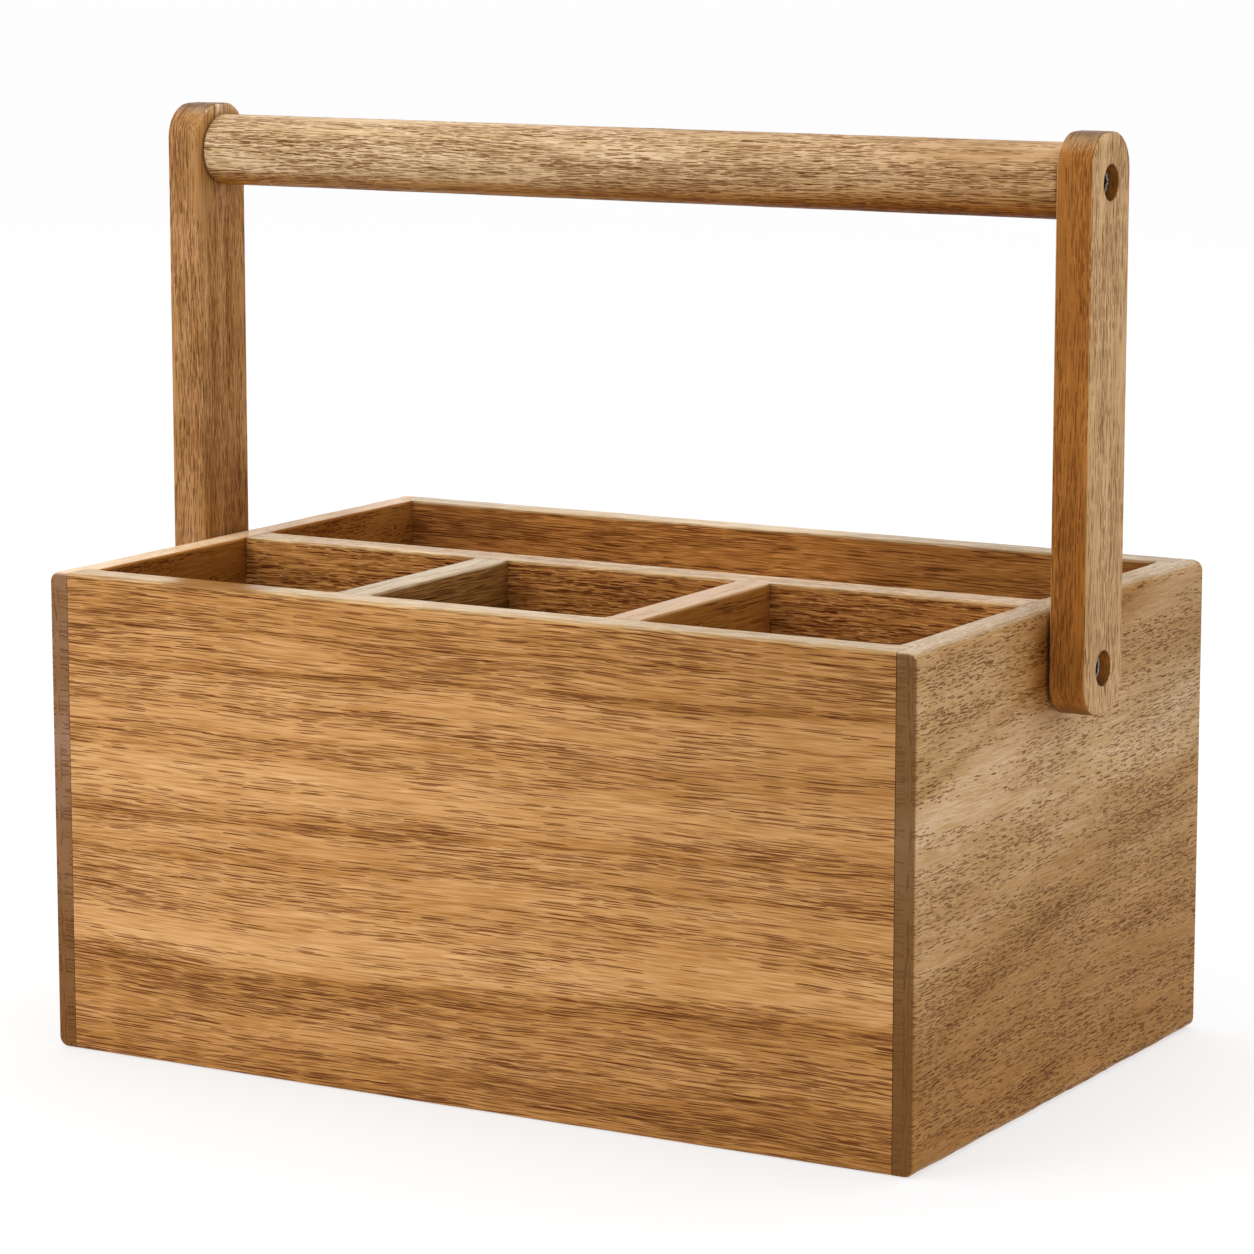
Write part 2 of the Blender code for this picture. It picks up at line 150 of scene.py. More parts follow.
def fill_ramp(node, stops, between="LINEAR"):
    """Put the given places and colours into a Color Ramp."""
    ramp = node.color_ramp
    ramp.interpolation = between
    while len(ramp.elements) < len(stops):
        ramp.elements.new(0.5)
    for element, (where, colour) in zip(ramp.elements, stops):
        element.position = where
        element.color = colour


def new_group(name, inputs, outputs):
    """A node group with named sockets. Returns the tree, its inputs and its output node."""
    tree = bpy.data.node_groups.new(name, "ShaderNodeTree")
    for label, kind, value in inputs:
        socket = tree.interface.new_socket(label, in_out="INPUT", socket_type="NodeSocket" + kind)
        if value is not None:
            socket.default_value = value
    for label, kind in outputs:
        tree.interface.new_socket(label, in_out="OUTPUT", socket_type="NodeSocket" + kind)
    entry = tree.nodes.new("NodeGroupInput")
    leave = tree.nodes.new("NodeGroupOutput")
    return tree, entry.outputs, leave


def new_material(name):
    """A material with an empty graph, its Principled shader and its output."""
    material = bpy.data.materials.new(name)
    material.use_nodes = True
    tree = material.node_tree
    return material, tree, tree.nodes["Principled BSDF"]


# %% [markdown]
# The room.
# The photograph is a studio picture: white paper under and behind the object, and large soft lights. White
# surroundings matter as much as the lamps. At a flat angle an oiled board reflects them like a mirror seen
# edge on, which is why the top edges look almost cream. The floor glows a little, so that it stays nearly
# white, and only a faint shadow shows where the box stands.

# %% Floor and light
FLOOR_HALF_SIDE = 30.0
FLOOR_DROP = 0.2 * MM
WHITE = (1, 1, 1, 1)
PAPER_COLOUR = (0.30, 0.30, 0.30, 1.0)
PAPER_ROUGHNESS = 0.9
PAPER_SHEEN = 0.1
PAPER_GLOW = 0.655
SKY_STRENGTH = 1.0
SKY_LEAN = -0.22
LAMP_AIM = Vector((0, 0, 0.1))
LAMPS = {
    "key softbox": {"place": (-1.1, -1.5, 1.3), "side": 1.2, "power": 12},
    "top softbox": {"place": (0.2, 0.5, 1.9), "side": 1.6, "power": 11},
}


def make_floor():
    """A flat sheet of paper just under the box."""
    side = FLOOR_HALF_SIDE
    corners = [(-side, -side), (side, -side), (side, side), (-side, side)]
    mesh = bpy.data.meshes.new("paper floor")
    mesh.from_pydata([(x, y, -FLOOR_DROP) for x, y in corners], [], [(0, 1, 2, 3)])
    floor = bpy.data.objects.new("paper_floor", mesh)
    bpy.context.scene.collection.objects.link(floor)
    material, tree, shader = new_material("white paper")
    shader.inputs["Base Color"].default_value = PAPER_COLOUR
    shader.inputs["Roughness"].default_value = PAPER_ROUGHNESS
    shader.inputs["Specular IOR Level"].default_value = PAPER_SHEEN
    shader.inputs["Emission Color"].default_value = WHITE
    shader.inputs["Emission Strength"].default_value = PAPER_GLOW
    mesh.materials.append(material)
    return floor


def make_softbox(name, place, side, power):
    """A lamp with a large square face at a place, turned to face the aim."""
    lamp = bpy.data.lights.new(name, "AREA")
    lamp.shape = "RECTANGLE"
    lamp.size = side
    lamp.size_y = side
    lamp.energy = power
    holder = bpy.data.objects.new(name, lamp)
    bpy.context.scene.collection.objects.link(holder)
    holder.location = place
    holder.rotation_mode = "QUATERNION"
    holder.rotation_quaternion = (Vector(place) - LAMP_AIM).to_track_quat("Z", "Y")
    return holder


def make_sky():
    """White surroundings, brighter on the left than on the right: strength plus lean times x."""
    world = bpy.data.worlds.new("white surroundings")
    bpy.context.scene.world = world
    world.use_nodes = True
    tree = world.node_tree
    background = tree.nodes["Background"]
    background.inputs["Color"].default_value = WHITE
    direction = parts_of(tree, add(tree, "TexCoord").outputs["Generated"])
    strength = calc(tree, "MULTIPLY_ADD", direction["X"], SKY_LEAN, SKY_STRENGTH)
    tree.links.new(strength, background.inputs["Strength"])


make_floor()
make_sky()
for name, lamp in LAMPS.items():
    make_softbox(name, **lamp)
bpy.context.scene.view_settings.view_transform = "Standard"
print("lamps:", len(LAMPS))

# %% [markdown]
# Surfaces from numbers.
# Every new piece is a grid of points worked out with numpy. One index goes along the piece and the other
# goes round it. A board is a rectangle with rounded corners, carried along its length. A dowel or a screw is
# a circle carried along its axis. Both give rings of points, so one helper can skin any of them: it joins
# neighbouring rings with four-sided faces and closes the two ends.

# %% Skin rings of points
SHARP_ANGLE = math.radians(32)
WELD = 0.0000005


def shade(mesh, sharp=True):
    """Smooth shading, with hard edges where faces meet at more than the sharp angle."""
    mesh.shade_smooth()
    if sharp:
        mesh.set_sharp_from_angle(angle=SHARP_ANGLE)


def skin(name, rings, capped=True):
    """A closed surface over an array of rings: rings[i, j] is point j of ring i.

    Face (i, j) joins points j and j + 1 of rings i and i + 1. Points that fall
    on each other, as at a pole, are welded, and the faces are turned outwards.
    """
    count, around = rings.shape[:2]
    i = np.arange(count - 1)[:, None] * around
    j = np.arange(around)[None, :]
    k = (j + 1) % around
    quads = np.stack([i + j, i + k, i + around + k, i + around + j], axis=-1).reshape(-1, 4)
    faces = quads.tolist()
    if capped:
        faces.append(list(range(around)))
        faces.append(list(range((count - 1) * around, count * around)))
    mesh = bpy.data.meshes.new(name)
    mesh.from_pydata(rings.reshape(-1, 3).tolist(), [], faces)
    tidy = bmesh.new()
    tidy.from_mesh(mesh)
    bmesh.ops.remove_doubles(tidy, verts=tidy.verts, dist=WELD)
    bmesh.ops.recalc_face_normals(tidy, faces=tidy.faces)
    tidy.to_mesh(mesh)
    tidy.free()
    shade(mesh)
    piece = bpy.data.objects.new(name, mesh)
    bpy.context.scene.collection.objects.link(piece)
    return piece


# %% [markdown]
# Sanded boards.
# A joiner saws the boards square, glues the box, and then sands it. So every outer edge is a small quarter
# circle, but where two boards meet in a T the sanding runs straight across and the edge has no rounding at
# all. The rounding is therefore a function of the place along the board: full in the open, nothing at a
# joint, with a short soft change between. Hand sanding is never quite even, so a slow wave of a few percent
# is added to it.

# %% Rounded sections
ARC_STEPS = 6
SUPPORT = 0.4 * MM
LEAST_ROUND = 0.02 * MM
FADE = 4 * MM
HAND_SANDING_SHARE = 0.14
HAND_WAVES = (0.047, 0.019, 0.0083)
MIDDLE_STATIONS = 41
MARK_STATIONS = 13


def soft_step(value):
    """0 below 0, 1 above 1 and an even S between: 3 v squared minus 2 v cubed."""
    v = np.clip(value, 0, 1)
    return v * v * (3 - 2 * v)


def hand_wave(along, seed):
    """A slow wave between about -1 and 1 along a length, the sum of three sines."""
    total = np.zeros_like(along)
    for order, wave in enumerate(HAND_WAVES):
        total += np.sin(2 * np.pi * (along / wave + seed * 0.37 + order * 0.61)) / (order + 1.5)
    return total / 1.4


def rounded_section(low_a, high_a, low_b, high_b, radii):
    """Points round a rectangle with quarter-circle corners, for all stations at once.

    A corner's centre lies one radius in from both sides. Its points are the
    centre plus the radius times (cos, sin). One more point stands a short
    way along the straight side at each end of the arc, so that flat sides stay flat.
    The sides are arrays with a value per station, and so is each corner's radius.
    """
    corners = ((high_a, high_b), (low_a, high_b), (low_a, low_b), (high_a, low_b))
    parts = []
    for quarter, (side_a, side_b) in enumerate(corners):
        radius = radii[quarter][:, None]
        sign_a = 1 if quarter in (0, 3) else -1
        sign_b = 1 if quarter in (0, 1) else -1
        centre_a = side_a[:, None] - sign_a * radius
        centre_b = side_b[:, None] - sign_b * radius
        angle = (quarter + np.linspace(0, 1, ARC_STEPS + 1)[None, :]) * np.pi / 2
        arc = np.stack([centre_a + radius * np.cos(angle), centre_b + radius * np.sin(angle)], axis=-1)
        turn = quarter * np.pi / 2
        ahead = np.array([-math.sin(turn), math.cos(turn)])
        after = np.array([-math.sin(turn + np.pi / 2), math.cos(turn + np.pi / 2)])
        parts += [arc[:, :1] - SUPPORT * ahead, arc, arc[:, -1:] + SUPPORT * after]
    return np.concatenate(parts, axis=1)


def stations(start, stop, ease, marks):
    """Places along a board: close together at its ends and round each mark, wide apart between."""
    arc = ease * np.sin(np.linspace(0, np.pi / 2, ARC_STEPS + 1))
    places = [start + ease - arc, stop - ease + arc]
    places.append(np.linspace(start + ease, stop - ease, MIDDLE_STATIONS))
    for mark in marks:
        places.append(mark + np.linspace(-FADE, FADE, MARK_STATIONS))
    merged = np.unique(np.round(np.concatenate(places), 8))
    return merged[(merged >= start) & (merged <= stop)]


def rounding(along, radius, meets, seed):
    """The radius of one long edge: the wave of hand sanding, fading to nothing at each joint."""
    result = radius * (1 + HAND_SANDING_SHARE * hand_wave(along, seed))
    for first, last in meets:
        away = np.maximum(first - along, along - last)
        result = result * soft_step(away / FADE)
    return np.maximum(result, LEAST_ROUND)


AXES = {"x": (0, 1, 2), "y": (1, 0, 2)}


def sanded_board(name, low, high, axis, rounds, meets, end_ease=0.0, eased_sides=(0, 0, 0, 0), seed=0):
    """A board between two corners, as a rounded section carried along one axis.

    rounds and meets hold a radius and a list of joints for each long edge, in the
    order high-high, low-high, low-low, high-low of the two other axes. Towards
    the two ends the eased sides (low a, high a, low b, high b) draw in by
    ease times (1 - cos t), while the place moves by ease times sin t.
    """
    s_axis, a_axis, b_axis = AXES[axis]
    marks = sorted({mark for edge in meets for span in edge for mark in span})
    along = stations(low[s_axis], high[s_axis], end_ease, marks)
    near = np.maximum(low[s_axis] + end_ease - along, along - high[s_axis] + end_ease)
    depth = np.clip(near / max(end_ease, 1e-9), 0, 1)
    draw = end_ease * (1 - np.sqrt(1 - depth**2))
    insets = [draw * eased for eased in eased_sides]
    sides = [
        low[a_axis] + insets[0],
        high[a_axis] - insets[1],
        low[b_axis] + insets[2],
        high[b_axis] - insets[3],
    ]
    touching = ((1, 3), (0, 3), (0, 2), (1, 2))
    radii = []
    for corner, (radius, spans) in enumerate(zip(rounds, meets)):
        shrink = np.minimum(insets[touching[corner][0]], insets[touching[corner][1]])
        radii.append(np.maximum(rounding(along, radius, spans, seed + corner) - shrink, LEAST_ROUND))
    section = rounded_section(*sides, radii)
    if end_ease:
        caps = []
        for ring in (0, -1):
            inner = [sides[0][ring] + SUPPORT, sides[1][ring] - SUPPORT]
            inner += [sides[2][ring] + SUPPORT, sides[3][ring] - SUPPORT]
            cap_sides = [np.array([value]) for value in inner]
            cap_radii = [np.maximum(radius[[ring]] - SUPPORT, LEAST_ROUND) for radius in radii]
            caps.append(rounded_section(*cap_sides, cap_radii))
        section = np.concatenate([caps[0], section, caps[1]])
        along = np.concatenate([along[:1], along, along[-1:]])
    rings = np.zeros((*section.shape[:2], 3))
    rings[..., s_axis] = along[:, None]
    rings[..., a_axis] = section[..., 0]
    rings[..., b_axis] = section[..., 1]
    return skin(name, rings)


# %% [markdown]
# Cutting the joints.
# Grooves, housings, rebates and screw holes are cut out of the finished board, just as on the bench. A
# Boolean modifier does it. The cutters are plain blocks and turned bars, and they are thrown away after the
# cut, so no trace of them is left in the scene. The joints are tighter than the ones of the measured model: a
# fifth of a millimetre, which shows as a dark hairline. Only the housings of the dividers have a little more
# room than that, because the photograph shows a darker line beside each divider.

# %% Cutters
TIGHT = 0.2 * MM
PAST = 2 * MM
BORE_STEPS = 64


def block(low, high):
    """A rectangular cutter between two corners, as four-point rings stacked in Z."""
    x = np.array([low[0], high[0], high[0], low[0]])
    y = np.array([low[1], low[1], high[1], high[1]])
    levels = np.array([low[2], high[2]])
    rings = np.stack([np.tile(x, (2, 1)), np.tile(y, (2, 1)), np.tile(levels[:, None], (1, 4))], axis=-1)
    return skin("cutter", rings)


def turned(name, x, radius, centre, steps=BORE_STEPS):
    """A turned shape about an axis along X: ring i is a circle of radius i at x i.

    The radius may be a list, or a grid with a value for each angle as well.
    Where the profile starts and ends on the axis the ends close by themselves.
    """
    x = np.asarray(x, float)
    radius = np.asarray(radius, float)
    if radius.ndim == 1:
        radius = np.repeat(radius[:, None], steps, axis=1)
    angle = np.arange(steps) / steps * 2 * np.pi
    across = centre[0] + radius * np.cos(angle)
    up = centre[1] + radius * np.sin(angle)
    rings = np.stack([np.repeat(x[:, None], steps, axis=1), across, up], axis=-1)
    return skin(name, rings, capped=False)


def carve(piece, cutters):
    """Subtract the cutters one after the other, keep the result as the piece's mesh."""
    for cutter in cutters:
        cut = piece.modifiers.new("cut", "BOOLEAN")
        cut.operation = "DIFFERENCE"
        cut.solver = "EXACT"
        cut.object = cutter
    bpy.context.view_layer.update()
    shown = piece.evaluated_get(bpy.context.evaluated_depsgraph_get())
    mesh = bpy.data.meshes.new_from_object(shown)
    piece.modifiers.clear()
    piece.data = mesh
    mesh.name = piece.name
    for cutter in cutters:
        bpy.data.objects.remove(cutter, do_unlink=True)
    shade(mesh)
    return piece


# %% [markdown]
# Where everything is.
# The sizes come from the measured model, by asking each piece for its box. Only what a box can't tell, such
# as how far below the rim a housing stops, is written down here.

# %% Sizes from the measured model
MODEL_GAP = 0.3 * MM
HOUSING_GAP = 0.35 * MM
HOUSING_STOP = 12 * MM
OUTER_ROUND = 3.0 * MM
EASED_EDGE = 1.0 * MM
INNER_EASE = 0.7 * MM

end_low, end_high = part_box("right_end_panel")
_, wall_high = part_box("front_panel")
floor_low, floor_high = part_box("bottom_panel")
long_low, long_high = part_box("long_divider")
left_low, left_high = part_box("left_cross_divider")
right_low, right_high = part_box("right_cross_divider")
arm_low, arm_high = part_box("right_arm")
grip_low, grip_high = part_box("handle_dowel")
screw_low, screw_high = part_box("right_pivot_screw")
washer_low, washer_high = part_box("right_washer")

HALF_LENGTH = end_high.x
HALF_DEPTH = end_high.y
RIM = end_high.z
END_INNER = end_low.x
WALL_INNER = -wall_high.y
REBATE = wall_high.x + MODEL_GAP
GROOVE_X = floor_high.x + MODEL_GAP
GROOVE_Y = floor_high.y + MODEL_GAP
TONGUE_X = long_high.x + MODEL_GAP
LONG_FRONT = long_low.y
LONG_BACK = long_high.y
TONGUE_DEPTH = TONGUE_X - END_INNER
HOUSING_TOP = RIM - HOUSING_STOP
PIVOT_Y, PIVOT_Z = frame["joints"][0]["pos_m"][1:]
GRIP_Z = (grip_low.z + grip_high.z) / 2
GRIP_RADIUS = (grip_high.z - grip_low.z) / 2
SHANK_RADIUS = 2.5 * MM
BORE_RADIUS = SHANK_RADIUS + MODEL_GAP
print("box, mm:", 2 * HALF_LENGTH / MM, 2 * HALF_DEPTH / MM, RIM / MM)
print("pivot and grip heights, mm:", round(PIVOT_Z / MM, 1), round(GRIP_Z / MM, 1))


def bar(start, stop, radius, height):
    """A round cutter along X through the handle's plane at a height."""
    return turned("cutter", [start, start, stop, stop], [0, radius, radius, 0], (PIVOT_Y, height))


# %% [markdown]
# Wood is solid.
# A board is sawn out of a tree, so its pattern runs through it: the dark pores that are long dashes on its
# face are dots on its end. The grain here is a solid pattern too. It is worked out from a point in space,
# with X taken along the fibres, and every face of the board cuts through the same pattern.
# First the straight grid of space is bent a little, because fibres wander. Slow noise moves a point sideways
# by a millimetre or two, quicker noise adds a flutter, and the quickest curls the finest fibres.

# %% Wandering grain
WANDERS = (
    ("Wander", 0.004, (5, 17, 17)),
    ("Flutter", 0.0005, (28, 120, 120)),
    ("Curl", 0.0001, (150, 240, 240)),
)


def noise(tree, vector, waves, detail=2.0, roughness=0.5):
    """Noise on a vector with its own number of waves a metre along each axis."""
    scaled = vector_calc(tree, "MULTIPLY", vector, waves)
    return add(tree, "TexNoise", {"Vector": scaled, "Scale": 1.0, "Detail": detail, "Roughness": roughness})


def wander_group():
    """Moves a point across the grain by twice (noise - 1/2) times an amount, for each kind of noise."""
    inputs = [("Vector", "Vector", None)] + [(label, "Float", amount) for label, amount, _ in WANDERS]
    tree, given, leave = new_group("wandering grain", inputs, [("Vector", "Vector")])
    place = given["Vector"]
    for label, _, waves in WANDERS:
        cloud = noise(tree, given["Vector"], waves).outputs["Color"]
        push = vector_calc(tree, "SUBTRACT", cloud, (0.5, 0.5, 0.5))
        across = vector_calc(tree, "MULTIPLY", push, (0, 2, 2))
        scaled = add(tree, "VectorMath", {0: across, "Scale": given[label]}, operation="SCALE").outputs[0]
        place = vector_calc(tree, "ADD", place, scaled)
    tree.links.new(place, leave.inputs["Vector"])
    return tree


WANDER = wander_group()
print("ways in which the grain wanders:", len(WANDERS))

# %% [markdown]
# Streaks, fibres and pores.
# Two sizes of noise, stretched along the grain, make the streaks and the fibres. Both are solid, so they run
# on over an edge. The pores are the open vessels of the wood, cut lengthways by the saw: thin dark dashes
# with pointed ends. They could be painted as a picture, but a picture stretches and repeats. Here a flat
# Voronoi pattern scatters one point in each long thin cell of the face, and a dash is drawn round each point.
# The fourth power of the way to its tip takes away from its half width, so it is even and then comes to a
# point. Each point also has three random values, which decide whether it is a pore at all, how wide it is and
# how dark. Slow noise gathers the pores in clumps, and a few more of them stand where the wood is dark. Three
# layers of pores, each one finer than the last, lie over each other.

# %% Fibres and pores
PORE_REACH = 0.45
PORE_HALF_WIDTHS = (0.13, 0.22)
PORE_DEPTHS = (0.5, 1.0)
PORE_EDGE = 20.0
PORE_CHOICE = 6.0
PORE_LAYERS = ((1.0, 1.0, 0.0), (0.65, 0.9, 0.3137), (0.4, 0.8, 0.7331))
CLOUD_WAVES = (24, 70, 70)
CLUMP_WAVES = (15, 170, 170)
STREAK_DETAIL = (5.0, 0.75)
LINE_DETAIL = (1.0, 0.6)
PALE_STREAKS = 0.6
PALE_LOSS = -0.25
FIBRE_HEIGHT = 0.8
FIBRE_SIZES = (
    "Pore Length", "Pore Width", "Pore Amount", "Pore Gather",
    "Streak Length", "Streak Width", "Line Length", "Line Width",
)


def between(tree, chance, limits):
    """A random value from 0 to 1, stretched to lie between two limits."""
    return calc(tree, "MULTIPLY_ADD", chance, limits[1] - limits[0], limits[0])


def pores(tree, along, across, length, width, amount):
    """A mask of dashes round scattered points, one in each cell of this length and width.

    Inside is where |y| is less than thickness times (1 - (x / reach) to the fourth), in cells.
    """
    cell = {"X": calc(tree, "DIVIDE", along, length), "Y": calc(tree, "DIVIDE", across, width)}
    cells = add(tree, "CombineXYZ", cell).outputs[0]
    dots = add(tree, "TexVoronoi", {"Vector": cells}, feature="F1", voronoi_dimensions="2D")
    dots.inputs["Scale"].default_value = 1.0
    chance = add(tree, "SeparateColor", {"Color": dots.outputs["Color"]}).outputs
    away = parts_of(tree, vector_calc(tree, "SUBTRACT", cells, dots.outputs["Position"]))
    to_tip = calc(tree, "DIVIDE", away["X"], PORE_REACH)
    squared = calc(tree, "MULTIPLY", to_tip, to_tip)
    taper = calc(tree, "SUBTRACT", 1.0, calc(tree, "MULTIPLY", squared, squared))
    edge = calc(tree, "MULTIPLY", taper, between(tree, chance["Green"], PORE_HALF_WIDTHS))
    inside = calc(tree, "SUBTRACT", edge, calc(tree, "ABSOLUTE", away["Y"]))
    dash = calc(tree, "MULTIPLY", inside, PORE_EDGE, clamp=True)
    spare = calc(tree, "SUBTRACT", amount, chance["Red"])
    allowed = calc(tree, "MULTIPLY", spare, PORE_CHOICE, clamp=True)
    deep = between(tree, chance["Blue"], PORE_DEPTHS)
    return calc(tree, "MULTIPLY", calc(tree, "MULTIPLY", dash, allowed), deep)


def fibre_group():
    """Streaks, fibres and pores. The vector is solid, along and across lie in the face."""
    inputs = [("Vector", "Vector", None)]
    inputs += [(label, "Float", usual) for label, usual in (("Along", 0.0), ("Across", 0.0), ("Band", 0.5))]
    inputs += [(label, "Float", None) for label in FIBRE_SIZES]
    outputs = [(label, "Float") for label in ("Streaks", "Fibres", "Cloud", "Pores", "Height")]
    tree, given, leave = new_group("fibres and pores", inputs, outputs)
    vector = given["Vector"]

    def stretched(length, width, detail, roughness):
        """Noise whose waves have this length along the grain and this width across."""
        size = add(tree, "CombineXYZ", {"X": length, "Y": width, "Z": width}).outputs[0]
        space = vector_calc(tree, "DIVIDE", vector, size)
        settings = {"Vector": space, "Scale": 1.0, "Detail": detail, "Roughness": roughness}
        return calc(tree, "SUBTRACT", add(tree, "TexNoise", settings).outputs[0], 0.5)

    streaks = stretched(given["Streak Length"], given["Streak Width"], *STREAK_DETAIL)
    fibres = stretched(given["Line Length"], given["Line Width"], *LINE_DETAIL)
    cloud = noise(tree, vector, CLOUD_WAVES, detail=3.0, roughness=0.6).outputs[0]
    cloud = calc(tree, "SUBTRACT", cloud, 0.5)
    clump = calc(tree, "SUBTRACT", noise(tree, vector, CLUMP_WAVES).outputs[0], 0.5)
    pale = calc(tree, "MULTIPLY_ADD", streaks, PALE_STREAKS, calc(tree, "SUBTRACT", given["Band"], 0.5))
    lift = calc(tree, "MULTIPLY_ADD", pale, PALE_LOSS, clump)
    crowd = calc(tree, "MULTIPLY_ADD", lift, given["Pore Gather"], given["Pore Amount"])
    dashes = None
    for length_share, width_share, shift in PORE_LAYERS:
        along = calc(tree, "ADD", given["Along"], shift)
        across = calc(tree, "ADD", given["Across"], shift)
        length = calc(tree, "MULTIPLY", given["Pore Length"], length_share)
        width = calc(tree, "MULTIPLY", given["Pore Width"], width_share)
        layer = pores(tree, along, across, length, width, crowd)
        dashes = layer if dashes is None else calc(tree, "MAXIMUM", dashes, layer)
    height = calc(tree, "SUBTRACT", calc(tree, "MULTIPLY", fibres, FIBRE_HEIGHT), dashes)
    results = {"Streaks": streaks, "Fibres": fibres, "Cloud": cloud, "Pores": dashes, "Height": height}
    for label, socket in results.items():
        tree.links.new(socket, leave.inputs[label])
    return tree


FIBRES = fibre_group()
print("sockets of the fibre group:", len(FIBRES.interface.items_tree))

# %% [markdown]
# One finish for each board.
# No two boards in the photograph have the same colour, so each gets its own material. All of them share the
# two groups. What differs is the way the grain runs, how far it wanders, the size of its pores, four colours
# from dark to pale, and the broad bands of growth. Those bands are a ramp across the board, read at the
# wandering point, so they are never quite straight. The ends of a board drink more oil and are darker, which
# the normal tells: a face whose normal lies along the grain is an end.
# What isn't grain is a tint, and many tints are painted light: a foot darkened as painted shade, a rim made
# pale as painted sheen, a place in the shade of the arm. A tint multiplies the colour, and it grows along one
# direction or several. The pores multiply it too, so a dash has the warm brown of its own board and isn't a
# grey line drawn over it.
# The sheen is that of a thin oil: smooth but weak, so the index of refraction is low, and the pores are matt.

# %% The usual grain
OIL_IOR = 1.16
MATT_IOR = 1.08
NO_TINT = (1, 1, 1)
NEVER = 1.0
GRAIN = {
    "wander": 0.004,
    "flutter": 0.0005,
    "curl": 0.0001,
    "pore_length": 0.022,
    "pore_width": 0.00092,
    "pore_amount": 0.66,
    "pore_gather": 3.2,
    "streak_length": 0.30,
    "streak_width": 0.006,
    "line_length": 0.016,
    "line_width": 0.00042,
    "band_share": 0.55,
    "streak_share": 0.55,
    "fibre_share": 1.75,
    "cloud_share": 0.45,
    "pore_strength": 1.0,
    "rim_tint": NO_TINT,
    "rim_pores": 1.0,
    "rim_stop": NEVER,
    "roughness": 0.18,
    "end_dark": 0.85,
    "bare_above": NEVER,
    "ior": OIL_IOR,
}
PLAIN_BANDS = ((0.0, 0.5), (0.2, 0.35), (0.35, 0.6), (0.5, 0.3), (0.7, 0.6), (0.85, 0.4), (1.0, 0.55))
PORE_TINT = (0.27, 0.13, 0.035, 1)
END_COLOUR = (0.116, 0.050, 0.016, 1)
print("numbers that describe a grain:", len(GRAIN))

# %% [markdown]
# Across the board.
# Along the grain a place is easy to tell: it is X, after a turn. Across it there are two ways, Y and Z, and
# only one of them lies in the face that is being coloured, so the normal picks it. On a turned piece neither
# does. There the way across is the way round: the angle about the axis times the radius.

# %% Ways across the grain
TURNS = {"x": (0, 0, 0), "y": (0, 0, -math.pi / 2), "z": (0, math.pi / 2, 0)}
SIDEWAYS_WANDER = 2.0


def around_axis(tree, spot, slip, middle):
    """The way round a turned piece: the angle about its axis times its radius, plus the wandering."""
    y_from = calc(tree, "SUBTRACT", spot["Y"], middle[0])
    z_from = calc(tree, "SUBTRACT", spot["Z"], middle[1])
    round_it = calc(tree, "MULTIPLY", calc(tree, "ARCTAN2", y_from, z_from), middle[2])
    return calc(tree, "ADD", round_it, slip["Z"])


def across_face(tree, bent, normal):
    """The way across the grain that lies in the face: Z where the face looks along Y, else Y."""
    looks_along_y = calc(tree, "ABSOLUTE", normal["Y"])
    pick = calc(tree, "GREATER_THAN", looks_along_y, calc(tree, "ABSOLUTE", normal["Z"]))
    return add(tree, "Mix", {0: pick, 2: bent["Y"], 3: bent["Z"]}, data_type="FLOAT").outputs[0]


def band_tone(tree, spot, slip, grain, bands, axis, span, slope):
    """The tone of the broad bands: a ramp over the span of one axis, read at the wandering place.

    The place is the coordinate on that axis, plus slope times the one along the
    grain, plus a share of the wandering.
    """
    across = calc(tree, "MULTIPLY_ADD", slip["Z"], SIDEWAYS_WANDER, spot[axis.upper()])
    across = calc(tree, "MULTIPLY_ADD", spot[grain.upper()], slope, across)
    ramp = add(tree, "ValToRGB", {0: rise(tree, across, *span)})
    fill_ramp(ramp, [(where, (tone, tone, tone, 1)) for where, tone in bands], "EASE")
    return ramp.outputs["Color"]


# %% [markdown]
# From tone to colour.
# The bands, streaks, fibres and clouds add up to one tone, and the tone picks a colour between the four of
# the board. Then come the tints, many of them painted light such as painted shade and the painted sheen of
# the rims, then the pores, which fade on the rims, and ends that drank the oil.

# %% Colour of the wood
RIM_FACING = (0.8, 0.4)
RIM_FADE = 5 * MM
# On the rim the pores fade, under its painted sheen.
PORE_FADE_SPAN = 0.8 * MM
PORE_SHARE_ON_RIM = 0.25
END_FACING = (0.6, 0.95)


def toned(tree, band, grainy, colours, look):
    """The colour that the tone picks: band, streaks, fibres and cloud, each times its share, added up."""
    tone = calc(tree, "MULTIPLY_ADD", band, look["band_share"], 0.5 - look["band_share"] / 2)
    for label, share in (("Streaks", "streak_share"), ("Fibres", "fibre_share"), ("Cloud", "cloud_share")):
        tone = calc(tree, "MULTIPLY_ADD", grainy[label], look[share], tone)
    palette = add(tree, "ValToRGB", {0: tone})
    last = len(colours) - 1
    fill_ramp(palette, [(index / last, (*colour, 1)) for index, colour in enumerate(colours)])
    return palette.outputs["Color"]


def with_tints(tree, colour, spot, tints):
    """The colour times each tint, more and more along each of its reaches (axis, start, stop); many tints are
    painted light.
    """
    for reaches, tint in tints:
        amount = 1.0
        for axis, start, stop in reaches:
            faded = rise(tree, spot[axis.upper()], start, stop, interpolation_type="SMOOTHSTEP")
            amount = calc(tree, "MULTIPLY", faded, amount)
        colour = mix(tree, amount, colour, (*tint, 1), "MULTIPLY")
    return colour


